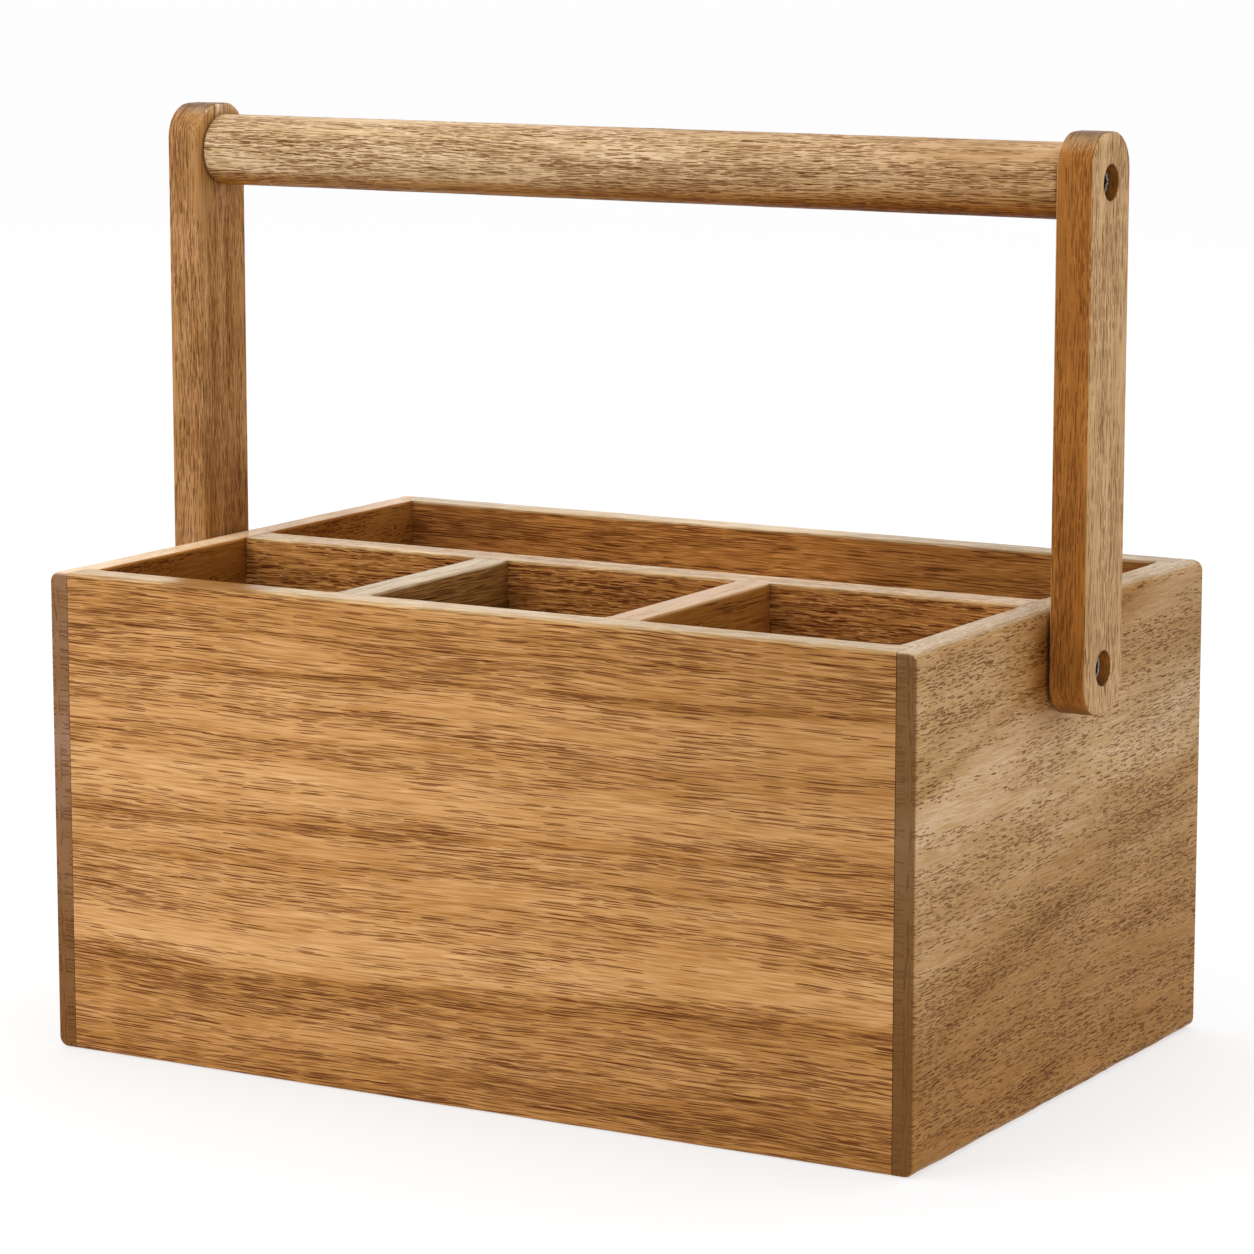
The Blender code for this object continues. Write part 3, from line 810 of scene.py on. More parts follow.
def with_pores(tree, colour, spot, normal, grainy, look):
    """The colour times the tint of the narrow sides, then times that of the pores, weaker on the rim under
    its painted sheen.

    A narrow side is where the turned normal's Z is small. Its tint fades out
    towards the height at which the rims stop.
    """
    narrow = rise(tree, calc(tree, "ABSOLUTE", normal["Z"]), *RIM_FACING)
    below_top = rise(tree, spot["Z"], look["rim_stop"], look["rim_stop"] - RIM_FADE)
    on_rim = calc(tree, "MULTIPLY", narrow, below_top)
    if look["rim_tint"] != NO_TINT:
        colour = mix(tree, on_rim, colour, (*look["rim_tint"], 1), "MULTIPLY")
    full = look["pore_strength"]
    pore_weight = rise(tree, spot["Z"], look["bare_above"] - PORE_FADE_SPAN, look["bare_above"], full, full * PORE_SHARE_ON_RIM)
    pore_fill = calc(tree, "MULTIPLY", grainy["Pores"], pore_weight)
    if look["rim_pores"] != 1:
        kept = calc(tree, "MULTIPLY_ADD", on_rim, look["rim_pores"] - 1, 1.0)
        pore_fill = calc(tree, "MULTIPLY", pore_fill, kept)
    return mix(tree, pore_fill, colour, PORE_TINT, "MULTIPLY")


def with_dark_ends(tree, colour, normal, share):
    """The colour, covered by this share of the end colour where the normal lies along the grain."""
    on_end = rise(tree, calc(tree, "ABSOLUTE", normal["X"]), *END_FACING)
    return mix(tree, calc(tree, "MULTIPLY", on_end, share), colour, END_COLOUR)


# %% One oiled wood
SEED_SHIFT = (1.0, 0.7, 1.3)
PORE_MATT = 0.35
FIBRE_MATT = 0.15
BUMP_STRENGTH = 0.6
BUMP_DEPTH = 0.10 * MM


def wood(
    name, grain, colours, seed, tints=(), bands=PLAIN_BANDS,
    band_axis="z", band_span=(0, RIM), band_slope=0.0, middle=None, **changes,
):
    """An oiled wood whose fibres run along one axis.

    A point is turned until its X lies along the grain, shifted by the seed, and
    bent. The bent point feeds the fibres and pores. The changes replace single
    numbers of the usual grain. A turned piece gives its axis and radius (y, z,
    radius) as the middle.
    """
    look = {**GRAIN, **changes}
    material, tree, shader = new_material(name)
    place = add(tree, "TexCoord")
    spot = parts_of(tree, place.outputs["Object"])
    moved = {"Vector": place.outputs["Object"], "Rotation": TURNS[grain]}
    moved["Location"] = [seed * share for share in SEED_SHIFT]
    turned_spot = add(tree, "Mapping", moved).outputs[0]
    facing = {"Vector": place.outputs["Normal"], "Rotation": TURNS[grain]}
    normal = parts_of(tree, add(tree, "Mapping", facing, vector_type="VECTOR").outputs[0])
    given = {"Vector": turned_spot, **{label: look[label.lower()] for label, _, _ in WANDERS}}
    bent_spot = add(tree, "Group", given, node_tree=WANDER).outputs[0]
    bent = parts_of(tree, bent_spot)
    slip = parts_of(tree, vector_calc(tree, "SUBTRACT", bent_spot, turned_spot))
    in_face = around_axis(tree, spot, slip, middle) if middle else across_face(tree, bent, normal)
    band = band_tone(tree, spot, slip, grain, bands, band_axis, band_span, band_slope)

    given = {"Vector": bent_spot, "Along": bent["X"], "Across": in_face, "Band": band}
    given.update({label: look[label.lower().replace(" ", "_")] for label in FIBRE_SIZES})
    grainy = add(tree, "Group", given, node_tree=FIBRES).outputs
    colour = with_tints(tree, toned(tree, band, grainy, colours, look), spot, tints)
    colour = with_pores(tree, colour, spot, normal, grainy, look)
    colour = with_dark_ends(tree, colour, normal, look["end_dark"])

    tree.links.new(colour, shader.inputs["Base Color"])
    rough = calc(tree, "MULTIPLY_ADD", grainy["Pores"], PORE_MATT, look["roughness"])
    rough = calc(tree, "MULTIPLY_ADD", grainy["Fibres"], FIBRE_MATT, rough)
    tree.links.new(rough, shader.inputs["Roughness"])
    shader.inputs["IOR"].default_value = look["ior"]
    height = {"Strength": BUMP_STRENGTH, "Distance": BUMP_DEPTH, "Height": grainy["Height"]}
    tree.links.new(add(tree, "Bump", height).outputs[0], shader.inputs["Normal"])
    return material


def tinted(colours, red, green, blue):
    """The same colours, each part times a number."""
    return tuple((r * red, g * green, b * blue) for r, g, b in colours)


# %% Four colours for each kind of board, from dark to pale
GOLDEN = ((0.26, 0.103, 0.022), (0.42, 0.192, 0.052), (0.57, 0.297, 0.110), (0.70, 0.405, 0.175))
TAN = ((0.23, 0.107, 0.026), (0.365, 0.197, 0.066), (0.50, 0.302, 0.140), (0.65, 0.448, 0.275))
BROWN = ((0.13, 0.040, 0.007), (0.29, 0.108, 0.022), (0.46, 0.195, 0.052), (0.62, 0.300, 0.095))
PALE = ((0.31, 0.163, 0.053), (0.45, 0.263, 0.107), (0.56, 0.343, 0.158), (0.66, 0.420, 0.215))
CREAM = ((0.32, 0.185, 0.070), (0.52, 0.345, 0.175), (0.68, 0.490, 0.295), (0.80, 0.610, 0.410))
GREY = ((0.12, 0.048, 0.010), (0.22, 0.096, 0.022), (0.32, 0.153, 0.042), (0.44, 0.225, 0.071))
print("kinds of wood:", len((GOLDEN, TAN, BROWN, PALE, CREAM, GREY)))

# %% [markdown]
# Front and back.
# The two long walls are the same board but for the housings of the short dividers, which only the front one
# has. Their ends are hidden in the rebates of the end panels, so they stay square.

# %% Front and back walls
GROOVE_LOW = floor_low.z - TIGHT
GROOVE_TOP = floor_high.z + MODEL_GAP


def ordered(side, first, second):
    """Two places on the side of this sign, the lower one first."""
    return sorted((side * first, side * second))


def long_edges(side, outer_round, inner_meets):
    """The rounding and the joints of the four long edges of a wall, in the order of its section's corners."""
    outer = (outer_round, [])
    inner = (INNER_EASE, inner_meets)
    foot = (INNER_EASE, [])
    return zip(*((outer, inner, foot, outer) if side > 0 else (inner, outer, outer, foot)))


def wall(name, side, cross_boxes):
    """The front (-1) or back (+1) wall, grooved for the floor and housed for short dividers."""
    y_low, y_high = ordered(side, HALF_DEPTH, WALL_INNER)
    inner_meets = [(-REBATE, -END_INNER), (END_INNER, REBATE)]
    inner_meets += [(box_low.x, box_high.x) for box_low, box_high in cross_boxes]
    rounds, meets = long_edges(side, EASED_EDGE, inner_meets)
    low = (-REBATE + TIGHT, y_low, 0)
    piece = sanded_board(name, low, (REBATE - TIGHT, y_high, RIM), "x", rounds, meets, seed=2 + side)

    def pocket(x_low, x_high, depth, z_low, z_high):
        """A cutter that sinks into the inner face."""
        near, far = ordered(side, WALL_INNER - PAST, WALL_INNER + depth)
        return block((x_low, near, z_low), (x_high, far, z_high))

    cutters = [pocket(-REBATE - PAST, REBATE + PAST, GROOVE_Y - WALL_INNER, GROOVE_LOW, GROOVE_TOP)]
    for box_low, box_high in cross_boxes:
        ends = (box_low.x - HOUSING_GAP, box_high.x + HOUSING_GAP)
        cutters.append(pocket(*ends, TONGUE_DEPTH, floor_high.z, HOUSING_TOP))
    return carve(piece, cutters)


cross_boxes = ((left_low, left_high), (right_low, right_high))
front = wall("front_wall", -1, cross_boxes)
back = wall("back_wall", 1, ())
print("front wall faces:", len(front.data.polygons))

# %% [markdown]
# The end panels.
# They are the same shape, mirrored, so one function makes both from a sign. Their outer top and bottom edges
# have the largest rounding of the whole box. The rebates that take the long walls are cut last.

# %% End panels


def end_panel(name, side):
    """The end panel at x of this sign."""
    x_low, x_high = ordered(side, HALF_LENGTH, END_INNER)
    inner_meets = [(-HALF_DEPTH, -WALL_INNER), (LONG_FRONT, LONG_BACK), (WALL_INNER, HALF_DEPTH)]
    rounds, meets = long_edges(side, OUTER_ROUND, inner_meets)
    eased_sides = (0, 1, 1, 1) if side > 0 else (1, 0, 1, 1)
    corners = ((x_low, -HALF_DEPTH, 0), (x_high, HALF_DEPTH, RIM))
    piece = sanded_board(name, *corners, "y", rounds, meets, EASED_EDGE, eased_sides, seed=5 + side)

    def pocket(depth, y_low, y_high, z_low, z_high):
        """A cutter that sinks into the inner face."""
        near, far = ordered(side, END_INNER - PAST, END_INNER + depth)
        return block((near, y_low, z_low), (far, y_high, z_high))

    past_y = HALF_DEPTH + PAST
    cutters = [
        pocket(REBATE - END_INNER, -past_y, -WALL_INNER + TIGHT, -PAST, RIM + PAST),
        pocket(REBATE - END_INNER, WALL_INNER - TIGHT, past_y, -PAST, RIM + PAST),
        pocket(GROOVE_X - END_INNER, -past_y, past_y, GROOVE_LOW, GROOVE_TOP),
        pocket(TONGUE_DEPTH, LONG_FRONT - HOUSING_GAP, LONG_BACK + HOUSING_GAP, floor_high.z, HOUSING_TOP),
        bar(side * (END_INNER - PAST), side * (HALF_LENGTH + PAST), BORE_RADIUS, PIVOT_Z),
    ]
    return carve(piece, cutters)


left_end = end_panel("left_end", -1)
right_end = end_panel("right_end", 1)
print("end panel faces:", len(right_end.data.polygons))

# %% [markdown]
# The dividers.
# Each one has a tongue at both ends, which stops below the rim, so from above it looks simply butted. The
# top corners that stand over the stopped housings are cut away. The long divider also takes the two pivot
# screws in its ends.

# %% Dividers


def long_board(name):
    """The divider between the end panels."""
    low = (-TONGUE_X + TIGHT, LONG_FRONT, floor_high.z + MODEL_GAP)
    high = (TONGUE_X - TIGHT, LONG_BACK, RIM)
    ends = [(-TONGUE_X, -END_INNER), (END_INNER, TONGUE_X)]
    crossed = ends + [(box_low.x, box_high.x) for box_low, box_high in cross_boxes]
    rounds = (INNER_EASE, INNER_EASE, LEAST_ROUND, LEAST_ROUND)
    piece = sanded_board(name, low, high, "x", rounds, (ends, crossed, [], []), seed=9)
    cutters = []
    for side in (-1, 1):
        near, far = ordered(side, END_INNER - TIGHT, TONGUE_X + PAST)
        corner = (near, LONG_FRONT - PAST, HOUSING_TOP - TIGHT)
        cutters.append(block(corner, (far, LONG_BACK + PAST, RIM + PAST)))
    for box_low, box_high in cross_boxes:
        corner = (box_low.x - HOUSING_GAP, LONG_FRONT - PAST, floor_low.z)
        opposite = (box_high.x + HOUSING_GAP, LONG_FRONT + TONGUE_DEPTH, HOUSING_TOP)
        cutters.append(block(corner, opposite))
    for side in (-1, 1):
        cutters.append(bar(side * (screw_low.x - MODEL_GAP), side * (TONGUE_X + PAST), BORE_RADIUS, PIVOT_Z))
    return carve(piece, cutters)


def cross_board(name, box_low, box_high, seed):
    """A short divider between the front wall and the long divider."""
    tongue = TONGUE_DEPTH - TIGHT
    low = (box_low.x, -WALL_INNER - tongue, floor_high.z + MODEL_GAP)
    high = (box_high.x, LONG_FRONT + tongue, RIM)
    ends = [(low[1], -WALL_INNER), (LONG_FRONT, high[1])]
    rounds = (INNER_EASE, INNER_EASE, LEAST_ROUND, LEAST_ROUND)
    piece = sanded_board(name, low, high, "y", rounds, (ends, ends, [], []), seed=seed)
    cutters = []
    for first, last in ((low[1] - PAST, -WALL_INNER + TIGHT), (LONG_FRONT - TIGHT, high[1] + PAST)):
        corner = (box_low.x - PAST, first, HOUSING_TOP - TIGHT)
        cutters.append(block(corner, (box_high.x + PAST, last, RIM + PAST)))
    return carve(piece, cutters)


middle_board = long_board("long_board")
left_cross = cross_board("left_cross_board", left_low, left_high, 11)
right_cross = cross_board("right_cross_board", right_low, right_high, 13)
print("long divider faces:", len(middle_board.data.polygons))

# %% [markdown]
# The handle.
# An arm is a flat bar whose outline is a rectangle with large round corners, carried through its thickness.
# Its rims are eased all round, so here the section is the outline and the length is the thickness. Each end
# has a hole for a screw and a wider, flat-bottomed one that hides its head. A turned cutter makes both in
# one go, with a hair of easing at the mouth. The dowel is turned, and it is drilled at both ends.

# %% Arms and dowel
ARM_CORNER = 10.5 * MM
ARM_EASE = 1.0 * MM
MOUTH_EASE = 0.25 * MM
COUNTERBORE = 5.3 * MM
HEAD_HEIGHT = 2.8 * MM
GRIP_END_ROUND = 1.8 * MM
GRIP_WAVE = 0.05 * MM
HEAD_FACE = screw_high.x
SEAT = HEAD_FACE - HEAD_HEIGHT
FINE_STEPS = 96
GRIP_STEPS = 160
GRIP_RINGS = 61
END_ARC_STEPS = 9


def arm(name, side):
    """One arm, with a stepped hole for the pivot and another for the dowel's screw."""
    x_low, x_high = ordered(side, arm_low.x, arm_high.x)
    low = (x_low, arm_low.y, arm_low.z)
    high = (x_high, arm_high.y, arm_high.z)
    edges = ((ARM_CORNER,) * 4, ([],) * 4)
    piece = sanded_board(name, low, high, "x", *edges, ARM_EASE, (1, 1, 1, 1), seed=20 + side)
    inside = arm_low.x - PAST
    outside = arm_high.x + PAST
    seat = SEAT - TIGHT
    mouth = COUNTERBORE + MOUTH_EASE
    profile = (
        (inside, 0), (inside, BORE_RADIUS), (seat, BORE_RADIUS), (seat, COUNTERBORE),
        (arm_high.x - MOUTH_EASE, COUNTERBORE), (arm_high.x, mouth), (outside, mouth), (outside, 0),
    )
    x, radius = np.array(profile).T
    cutters = [turned("cutter", x * side, radius, (PIVOT_Y, z), FINE_STEPS) for z in (PIVOT_Z, GRIP_Z)]
    return carve(piece, cutters)


def dowel(name):
    """The grip: a turned bar with rounded ends and a drilled hole in each."""
    half = grip_high.x
    arc = np.linspace(0, np.pi / 2, END_ARC_STEPS)
    shoulder_x = half - GRIP_END_ROUND * (1 - np.cos(arc))[::-1]
    shoulder_r = GRIP_RADIUS - GRIP_END_ROUND * (1 - np.sin(arc))[::-1]
    body = np.linspace(-half + GRIP_END_ROUND, half - GRIP_END_ROUND, GRIP_RINGS)[1:-1]
    body_r = GRIP_RADIUS + GRIP_WAVE * (hand_wave(body, 3) - 1)
    hole = screw_low.x - MODEL_GAP
    right_x = np.concatenate([shoulder_x, [half, hole, hole]])
    right_r = np.concatenate([shoulder_r, [BORE_RADIUS, BORE_RADIUS, 0]])
    x = np.concatenate([-right_x[::-1], body, right_x])
    radius = np.concatenate([right_r[::-1], body_r, right_r])
    return turned(name, x, radius, (PIVOT_Y, GRIP_Z), GRIP_STEPS)


left_arm = arm("left_arm_bar", -1)
right_arm = arm("right_arm_bar", 1)
grip = dowel("grip_dowel")
print("arm faces:", len(right_arm.data.polygons), "dowel faces:", len(grip.data.polygons))

# %% [markdown]
# Screws and washers.
# A screw is one more turned surface whose radius also depends on the angle, so a thread is a formula: a
# wave of the turns along the axis minus the turns round it. In each counterbore the photograph shows a
# silver ring with a dark middle. So the head is a flat ring round a sunk face, and the cross is cut into that
# face: a height function on a fan of fine rings, with slightly sloped walls, as a punch leaves them.

# %% Thread and cross
HEAD_RADIUS = 4.4 * MM
HEAD_ROUND = 0.3 * MM
THREAD_HEIGHT = 0.7 * MM
THREAD_PITCH = 2.8 * MM
THREAD_FULLNESS = 1.2
THREAD_RINGS = 130
PLAIN_SHANK = 18 * MM
TIP_LENGTH = 3 * MM
SUNK_RADIUS = 3.5 * MM
SUNK_DEPTH = 1.2 * MM
SUNK_WALL = 0.3 * MM
PIVOT_CROSS = 6.4 * MM
GRIP_CROSS = 8.4 * MM
CROSS_WIDTH = 1.1 * MM
CROSS_DEPTH = 1.1 * MM
CROSS_WALL = 0.12 * MM
CROSS_END = 0.5 * MM
FAN_RINGS = 60
SCREW_STEPS = 96
SCREW_ANGLES = np.arange(SCREW_STEPS) / SCREW_STEPS * 2 * np.pi
PIVOT_TWIST = math.radians(45)


def cross_depth(y, z, length):
    """How deep the cross is at a point of the head: two slots with sloping walls."""
    slot = CROSS_WIDTH / 2 - np.minimum(np.abs(y), np.abs(z))
    end = length / 2 - np.maximum(np.abs(y), np.abs(z))
    return CROSS_DEPTH * np.minimum(np.clip(slot / CROSS_WALL, 0, 1), np.clip(end / CROSS_END, 0, 1))


def thread_rings():
    """Places along the thread, and the radius there at each angle.

    The phase is the turns along the axis minus the turns round it. In each turn
    of it a ridge rises and falls on the core, and it fades at both ends.
    """
    start = screw_low.x + TIP_LENGTH
    stop = SEAT - PLAIN_SHANK
    along = np.linspace(start, stop, THREAD_RINGS)
    phase = along[:, None] / THREAD_PITCH - SCREW_ANGLES[None, :] / (2 * np.pi)
    ridge = 1 - np.abs(2 * (phase - np.floor(phase)) - 1)
    fade = np.clip(np.minimum(along - start, stop - along) / THREAD_PITCH, 0, 1)
    core = SHANK_RADIUS - THREAD_HEIGHT
    return along, core + THREAD_HEIGHT * soft_step(ridge * THREAD_FULLNESS) * fade[:, None]


# %% Screws and washers
WASHER_EASE = 0.1 * MM


def screw(name, side, height, twist, length):
    """A screw along X, from its tip to its head.

    After the thread come the plain shank, the seat and the rounded rim of the
    head, and then a fan of rings to the middle. The fan is flat, sinks by a
    soft step at the sunk radius, and has the cross of this length, twisted.
    """
    along, thread = thread_rings()
    arc = np.linspace(0, np.pi / 2, END_ARC_STEPS)
    flat_radius = HEAD_RADIUS - HEAD_ROUND
    rim_x = HEAD_FACE - HEAD_ROUND + HEAD_ROUND * np.sin(arc)
    rim_r = flat_radius + HEAD_ROUND * np.cos(arc)
    fan = np.linspace(flat_radius, 0, FAN_RINGS)[1:]
    sunk = HEAD_FACE - SUNK_DEPTH * soft_step((SUNK_RADIUS - fan) / SUNK_WALL)
    x = np.concatenate([[screw_low.x], along, [along[-1] + THREAD_HEIGHT, SEAT, SEAT], rim_x, sunk])
    even = np.concatenate([[SHANK_RADIUS, SHANK_RADIUS, HEAD_RADIUS], rim_r, fan])
    even = np.repeat(even[:, None], SCREW_STEPS, axis=1)
    radius = np.concatenate([np.zeros((1, SCREW_STEPS)), thread, even])
    grid_x = np.repeat(x[:, None], SCREW_STEPS, axis=1)
    face = radius[-len(fan):]
    angle = SCREW_ANGLES + twist
    grid_x[-len(fan):] -= cross_depth(face * np.cos(angle), face * np.sin(angle), length)
    y = PIVOT_Y + radius * np.cos(SCREW_ANGLES)
    z = height + radius * np.sin(SCREW_ANGLES)
    return skin(name, np.stack([side * grid_x, y, z], axis=-1), capped=False)


def washer(name, side):
    """A thin ring round the pivot screw, with its outer rim eased."""
    outer = (washer_high.z - washer_low.z) / 2
    waist = outer - WASHER_EASE
    profile = (
        (washer_low.x, BORE_RADIUS), (washer_high.x, BORE_RADIUS), (washer_high.x, waist),
        (washer_high.x - WASHER_EASE, outer), (washer_low.x + WASHER_EASE, outer), (washer_low.x, waist),
        (washer_low.x, BORE_RADIUS),
    )
    x, radius = np.array(profile).T
    return turned(name, x * side, radius, (PIVOT_Y, PIVOT_Z), FINE_STEPS)


sides = {"left": -1, "right": 1}
pivot_screws = {}
grip_screws = {}
washers = {}
for word, side in sides.items():
    pivot_screws[word] = screw(word + "_pivot", side, PIVOT_Z, PIVOT_TWIST, PIVOT_CROSS)
for word, side in sides.items():
    grip_screws[word] = screw(word + "_grip_screw", side, GRIP_Z, 0, GRIP_CROSS)
for word, side in sides.items():
    washers[word] = washer(word + "_spacer", side)
print("screw faces:", len(pivot_screws["right"].data.polygons))

# %% [markdown]
# Colours of the boards.
# Each board is given its own tree, so to say: a seed moves it to another place in the pattern, and its ramp
# puts the broad bands where the photograph has them. A band is a pair: how far along the span of the ramp it
# lies, as a share, and its tone. The rims are far paler than the faces, because they catch the white light at
# a flat angle. That pale sheen is painted on as a tint: it is full on the rim, and gone a little more than a
# millimetre below it. The pores fade there as well.

# %% Front and back boards
RIM_REACH = ("z", RIM - 1.2 * MM, RIM - 0.3 * MM)
FADED_RIM_PORES = {"bare_above": RIM - 0.4 * MM}
FRONT_BANDS = (
    (0.047, 0.20), (0.120, 0.52), (0.173, 0.33), (0.233, 0.12), (0.273, 0.82), (0.313, 0.90),
    (0.347, 0.62), (0.393, 0.60), (0.447, 0.68), (0.467, 0.30), (0.493, 0.55), (0.530, 0.55),
    (0.543, 0.00), (0.553, 0.28), (0.580, 0.60), (0.613, 0.80), (0.653, 0.82), (0.693, 0.58),
    (0.727, 0.42), (0.760, 0.75), (0.780, 0.60), (0.813, 0.82), (0.837, 0.62), (0.851, 0.02),
    (0.863, 0.62), (0.887, 0.42), (0.907, 0.58), (0.918, 0.08), (0.927, 0.58), (0.940, 0.30),
    (0.973, 0.45), (1.000, 0.50),
)
FRONT_SLOPE = -0.03


def dress(piece, material):
    """Give a piece one material."""
    piece.data.materials.clear()
    piece.data.materials.append(material)


def painted_rim_sheen(*tint):
    """The painted sheen of a rim: a tint that makes it pale."""
    return [RIM_REACH], tint


# Painted shade: the front grows darker towards its right end and towards its foot. It is also darker towards
# its upper right corner, and its rim is pale with painted sheen.
shade_to_right = ([("x", -0.10, 0.15)], (0.86, 0.84, 0.80))
shade_to_foot = ([("z", 0.055, -0.01)], (0.93, 0.90, 0.86))
to_corner = ([("x", -0.02, 0.15), ("z", 0.05, 0.13)], (0.88, 0.86, 0.83))
# Painted reflection: a brown patch on the rim near the left end, where the rim mirrors the left arm.
arm_reflection_on_rim = ([("x", -0.110, -0.100), ("x", -0.064, -0.076), RIM_REACH], (0.60, 0.41, 0.20))
front_tints = (shade_to_right, shade_to_foot, to_corner, painted_rim_sheen(1.10, 1.48, 2.2), arm_reflection_on_rim)
front_look = {**FADED_RIM_PORES, "pore_width": 0.0010, "pore_amount": 0.60, "pore_gather": 2.6, "fibre_share": 1.25}
front_look.update(bands=FRONT_BANDS, band_slope=FRONT_SLOPE)
dress(front, wood("golden front", "x", GOLDEN, 0.3, front_tints, **front_look))
back_left = ([("x", -0.06, -0.12)], (1.08, 1.06, 1.05))
back_right = ([("x", 0.04, 0.09)], (0.86, 0.85, 0.83))
back_middle = ([("x", -0.11, -0.08), ("x", 0.05, 0.01)], (1.32, 1.33, 1.32))
# The pale rim of the back is painted sheen.
back_tints = (back_left, back_middle, back_right, painted_rim_sheen(1.06, 1.74, 3.8))
back_look = {**FADED_RIM_PORES, "wander": 0.009, "pore_amount": 0.56, "fibre_share": 1.35}
dress(back, wood("brown back", "x", tinted(BROWN, 1.03, 1.05, 1.02), 1.7, back_tints, **back_look))
print("stains on the front board:", len(front_tints))

# %% [markdown]
# End boards.
# The bands of the end panels aren't level. They rise towards the back, by a good quarter of the way they go.
# The right one is tinted in more places than any other board: its foot is darker and browner, as painted
# shade; its middle is pale; its top is darker from the arm to the back, and darkest in the arm's shade, both
# painted shade; its rim is pale with painted sheen; and its back corner turns grey. The left one shows only
# its front edge, its rim and its inside. The inside is dark and orange, its foot is painted shade as on the
# right one, and its rim is pale with painted sheen but darker from the arm to the back, as painted shade.

# %% Colours of the end panels
END_BANDS = (
    (0.190, 0.48), (0.276, 0.42), (0.352, 0.50), (0.405, 0.44), (0.433, 0.34), (0.457, 0.42),
    (0.495, 0.50), (0.552, 0.62), (0.610, 0.58), (0.657, 0.66), (0.705, 0.78), (0.743, 0.88),
    (0.771, 0.74), (0.790, 0.48), (0.805, 0.66), (0.829, 0.52), (0.886, 0.60), (0.952, 0.50),
    (0.990, 0.55),
)
END_MARGIN = 30 * MM
END_SLOPE = -0.28
TAN_GRAIN = {
    "pore_length": 0.0060,
    "pore_width": 0.0014,
    "pore_amount": 0.51,
    "pore_strength": 0.85,
    "pore_gather": 2.4,
    "band_share": 0.95,
    "curl": 0.0006,
    "streak_share": 0.55,
    "fibre_share": 0.9,
    "ior": MATT_IOR,
}
end_look = {"bands": END_BANDS, "band_span": (-END_MARGIN, RIM + END_MARGIN), "band_slope": END_SLOPE}
end_look.update(TAN_GRAIN, **FADED_RIM_PORES)
# Painted shade: both end panels grow darker and browner towards the foot. Their pale rims are painted sheen.
foot_shade = ([("z", 0.115, -0.01)], (0.76, 0.62, 0.40))
pale_middle = ([("z", 0.080, 0.098), ("z", 0.130, 0.112), ("y", -0.04, 0.02)], (1.10, 1.17, 1.28))
# Painted shade: the top of the right end is darker from the arm to the back.
shade_from_arm = ([("y", -0.060, arm_low.y), ("z", 0.100, 0.130)], (0.76, 0.64, 0.46))
shaded_reaches = [
    ("y", arm_low.y - 16 * MM, arm_low.y),
    ("y", arm_high.y, arm_low.y),
    ("z", 0.112, 0.128),
    ("z", RIM, RIM - 8 * MM),
]
shaded = (shaded_reaches, (0.62, 0.46, 0.28))
grey_corner = ([("y", 0.02, 0.08), ("z", 0.08, 0.12)], (0.97, 1.06, 1.22))
left_inside = ([("x", -END_INNER - 1.0 * MM, -END_INNER - 0.2 * MM)], (0.58, 0.34, 0.12))
# Painted shade: the rim of the left end is darker from the left arm to the back.
arm_shade_on_left_rim = ([("y", -0.02, 0.03), RIM_REACH], (0.64, 0.55, 0.46))
left_strip = ([("y", -HALF_DEPTH + 1.5 * MM, -HALF_DEPTH + 0.2 * MM)], (0.84, 0.78, 0.95))
left_tints = (foot_shade, left_inside, painted_rim_sheen(1.62, 1.90, 2.50), arm_shade_on_left_rim, left_strip)
right_tints = (foot_shade, pale_middle, shade_from_arm, shaded, grey_corner, painted_rim_sheen(1.03, 1.25, 1.72))
ends = ((left_end, 2.1, 0.55, left_tints), (right_end, 2.9, 0.85, right_tints))
for piece, seed, end_dark, tints in ends:
    dress(piece, wood(piece.name + " tan", "y", TAN, seed, tints, end_dark=end_dark, **end_look))
print("stains on the right end:", len(right_tints))

# %% [markdown]
# Dividers and floor.
# The dividers differ from each other. The long one is brown, with curly fibres. The left short one is a
# greyer brown. The right one is nearly orange and so smooth that it hardly shows a pore. The floor can't be
# seen in the photograph, so it keeps the plain brown wood.

# %% Colours of the dividers and the floor
CURLY = {"pore_length": 0.010, "pore_width": 0.0014, "pore_amount": 0.8, "curl": 0.0005}
SMOOTH = {"pore_amount": 0.1, "streak_share": 0.4, "fibre_share": 0.6}
long_left = ([("x", -0.04, -0.10)], (1.12, 1.18, 1.2))
long_colours = tinted(BROWN, 1.14, 1.17, 1.23)
# The pale rims of the dividers are painted sheen.
long_tints = [long_left, painted_rim_sheen(1.03, 1.44, 2.2)]
grey_tints = [painted_rim_sheen(1.58, 2.36, 4.8)]
smooth_colours = tinted(BROWN, 1.0, 0.95, 0.75)
smooth_tints = [painted_rim_sheen(1.18, 1.62, 2.9)]
dividers = (
    (middle_board, "brown long board", "x", long_colours, 4.4, long_tints, CURLY),
    (left_cross, "grey brown cross board", "y", GREY, 5.2, grey_tints, {}),
    (right_cross, "orange brown cross board", "y", smooth_colours, 6.1, smooth_tints, SMOOTH),
)
for piece, name, grain, colours, seed, tints, look in dividers:
    dress(piece, wood(name, grain, colours, seed, tints, **look, **FADED_RIM_PORES))
floor_wood = wood("brown floor", "x", BROWN, 10.2, band_axis="y", band_span=(-HALF_DEPTH, HALF_DEPTH))
dress(frame["nodes"]["bottom_panel"], floor_wood)
print("dividers:", len(dividers))

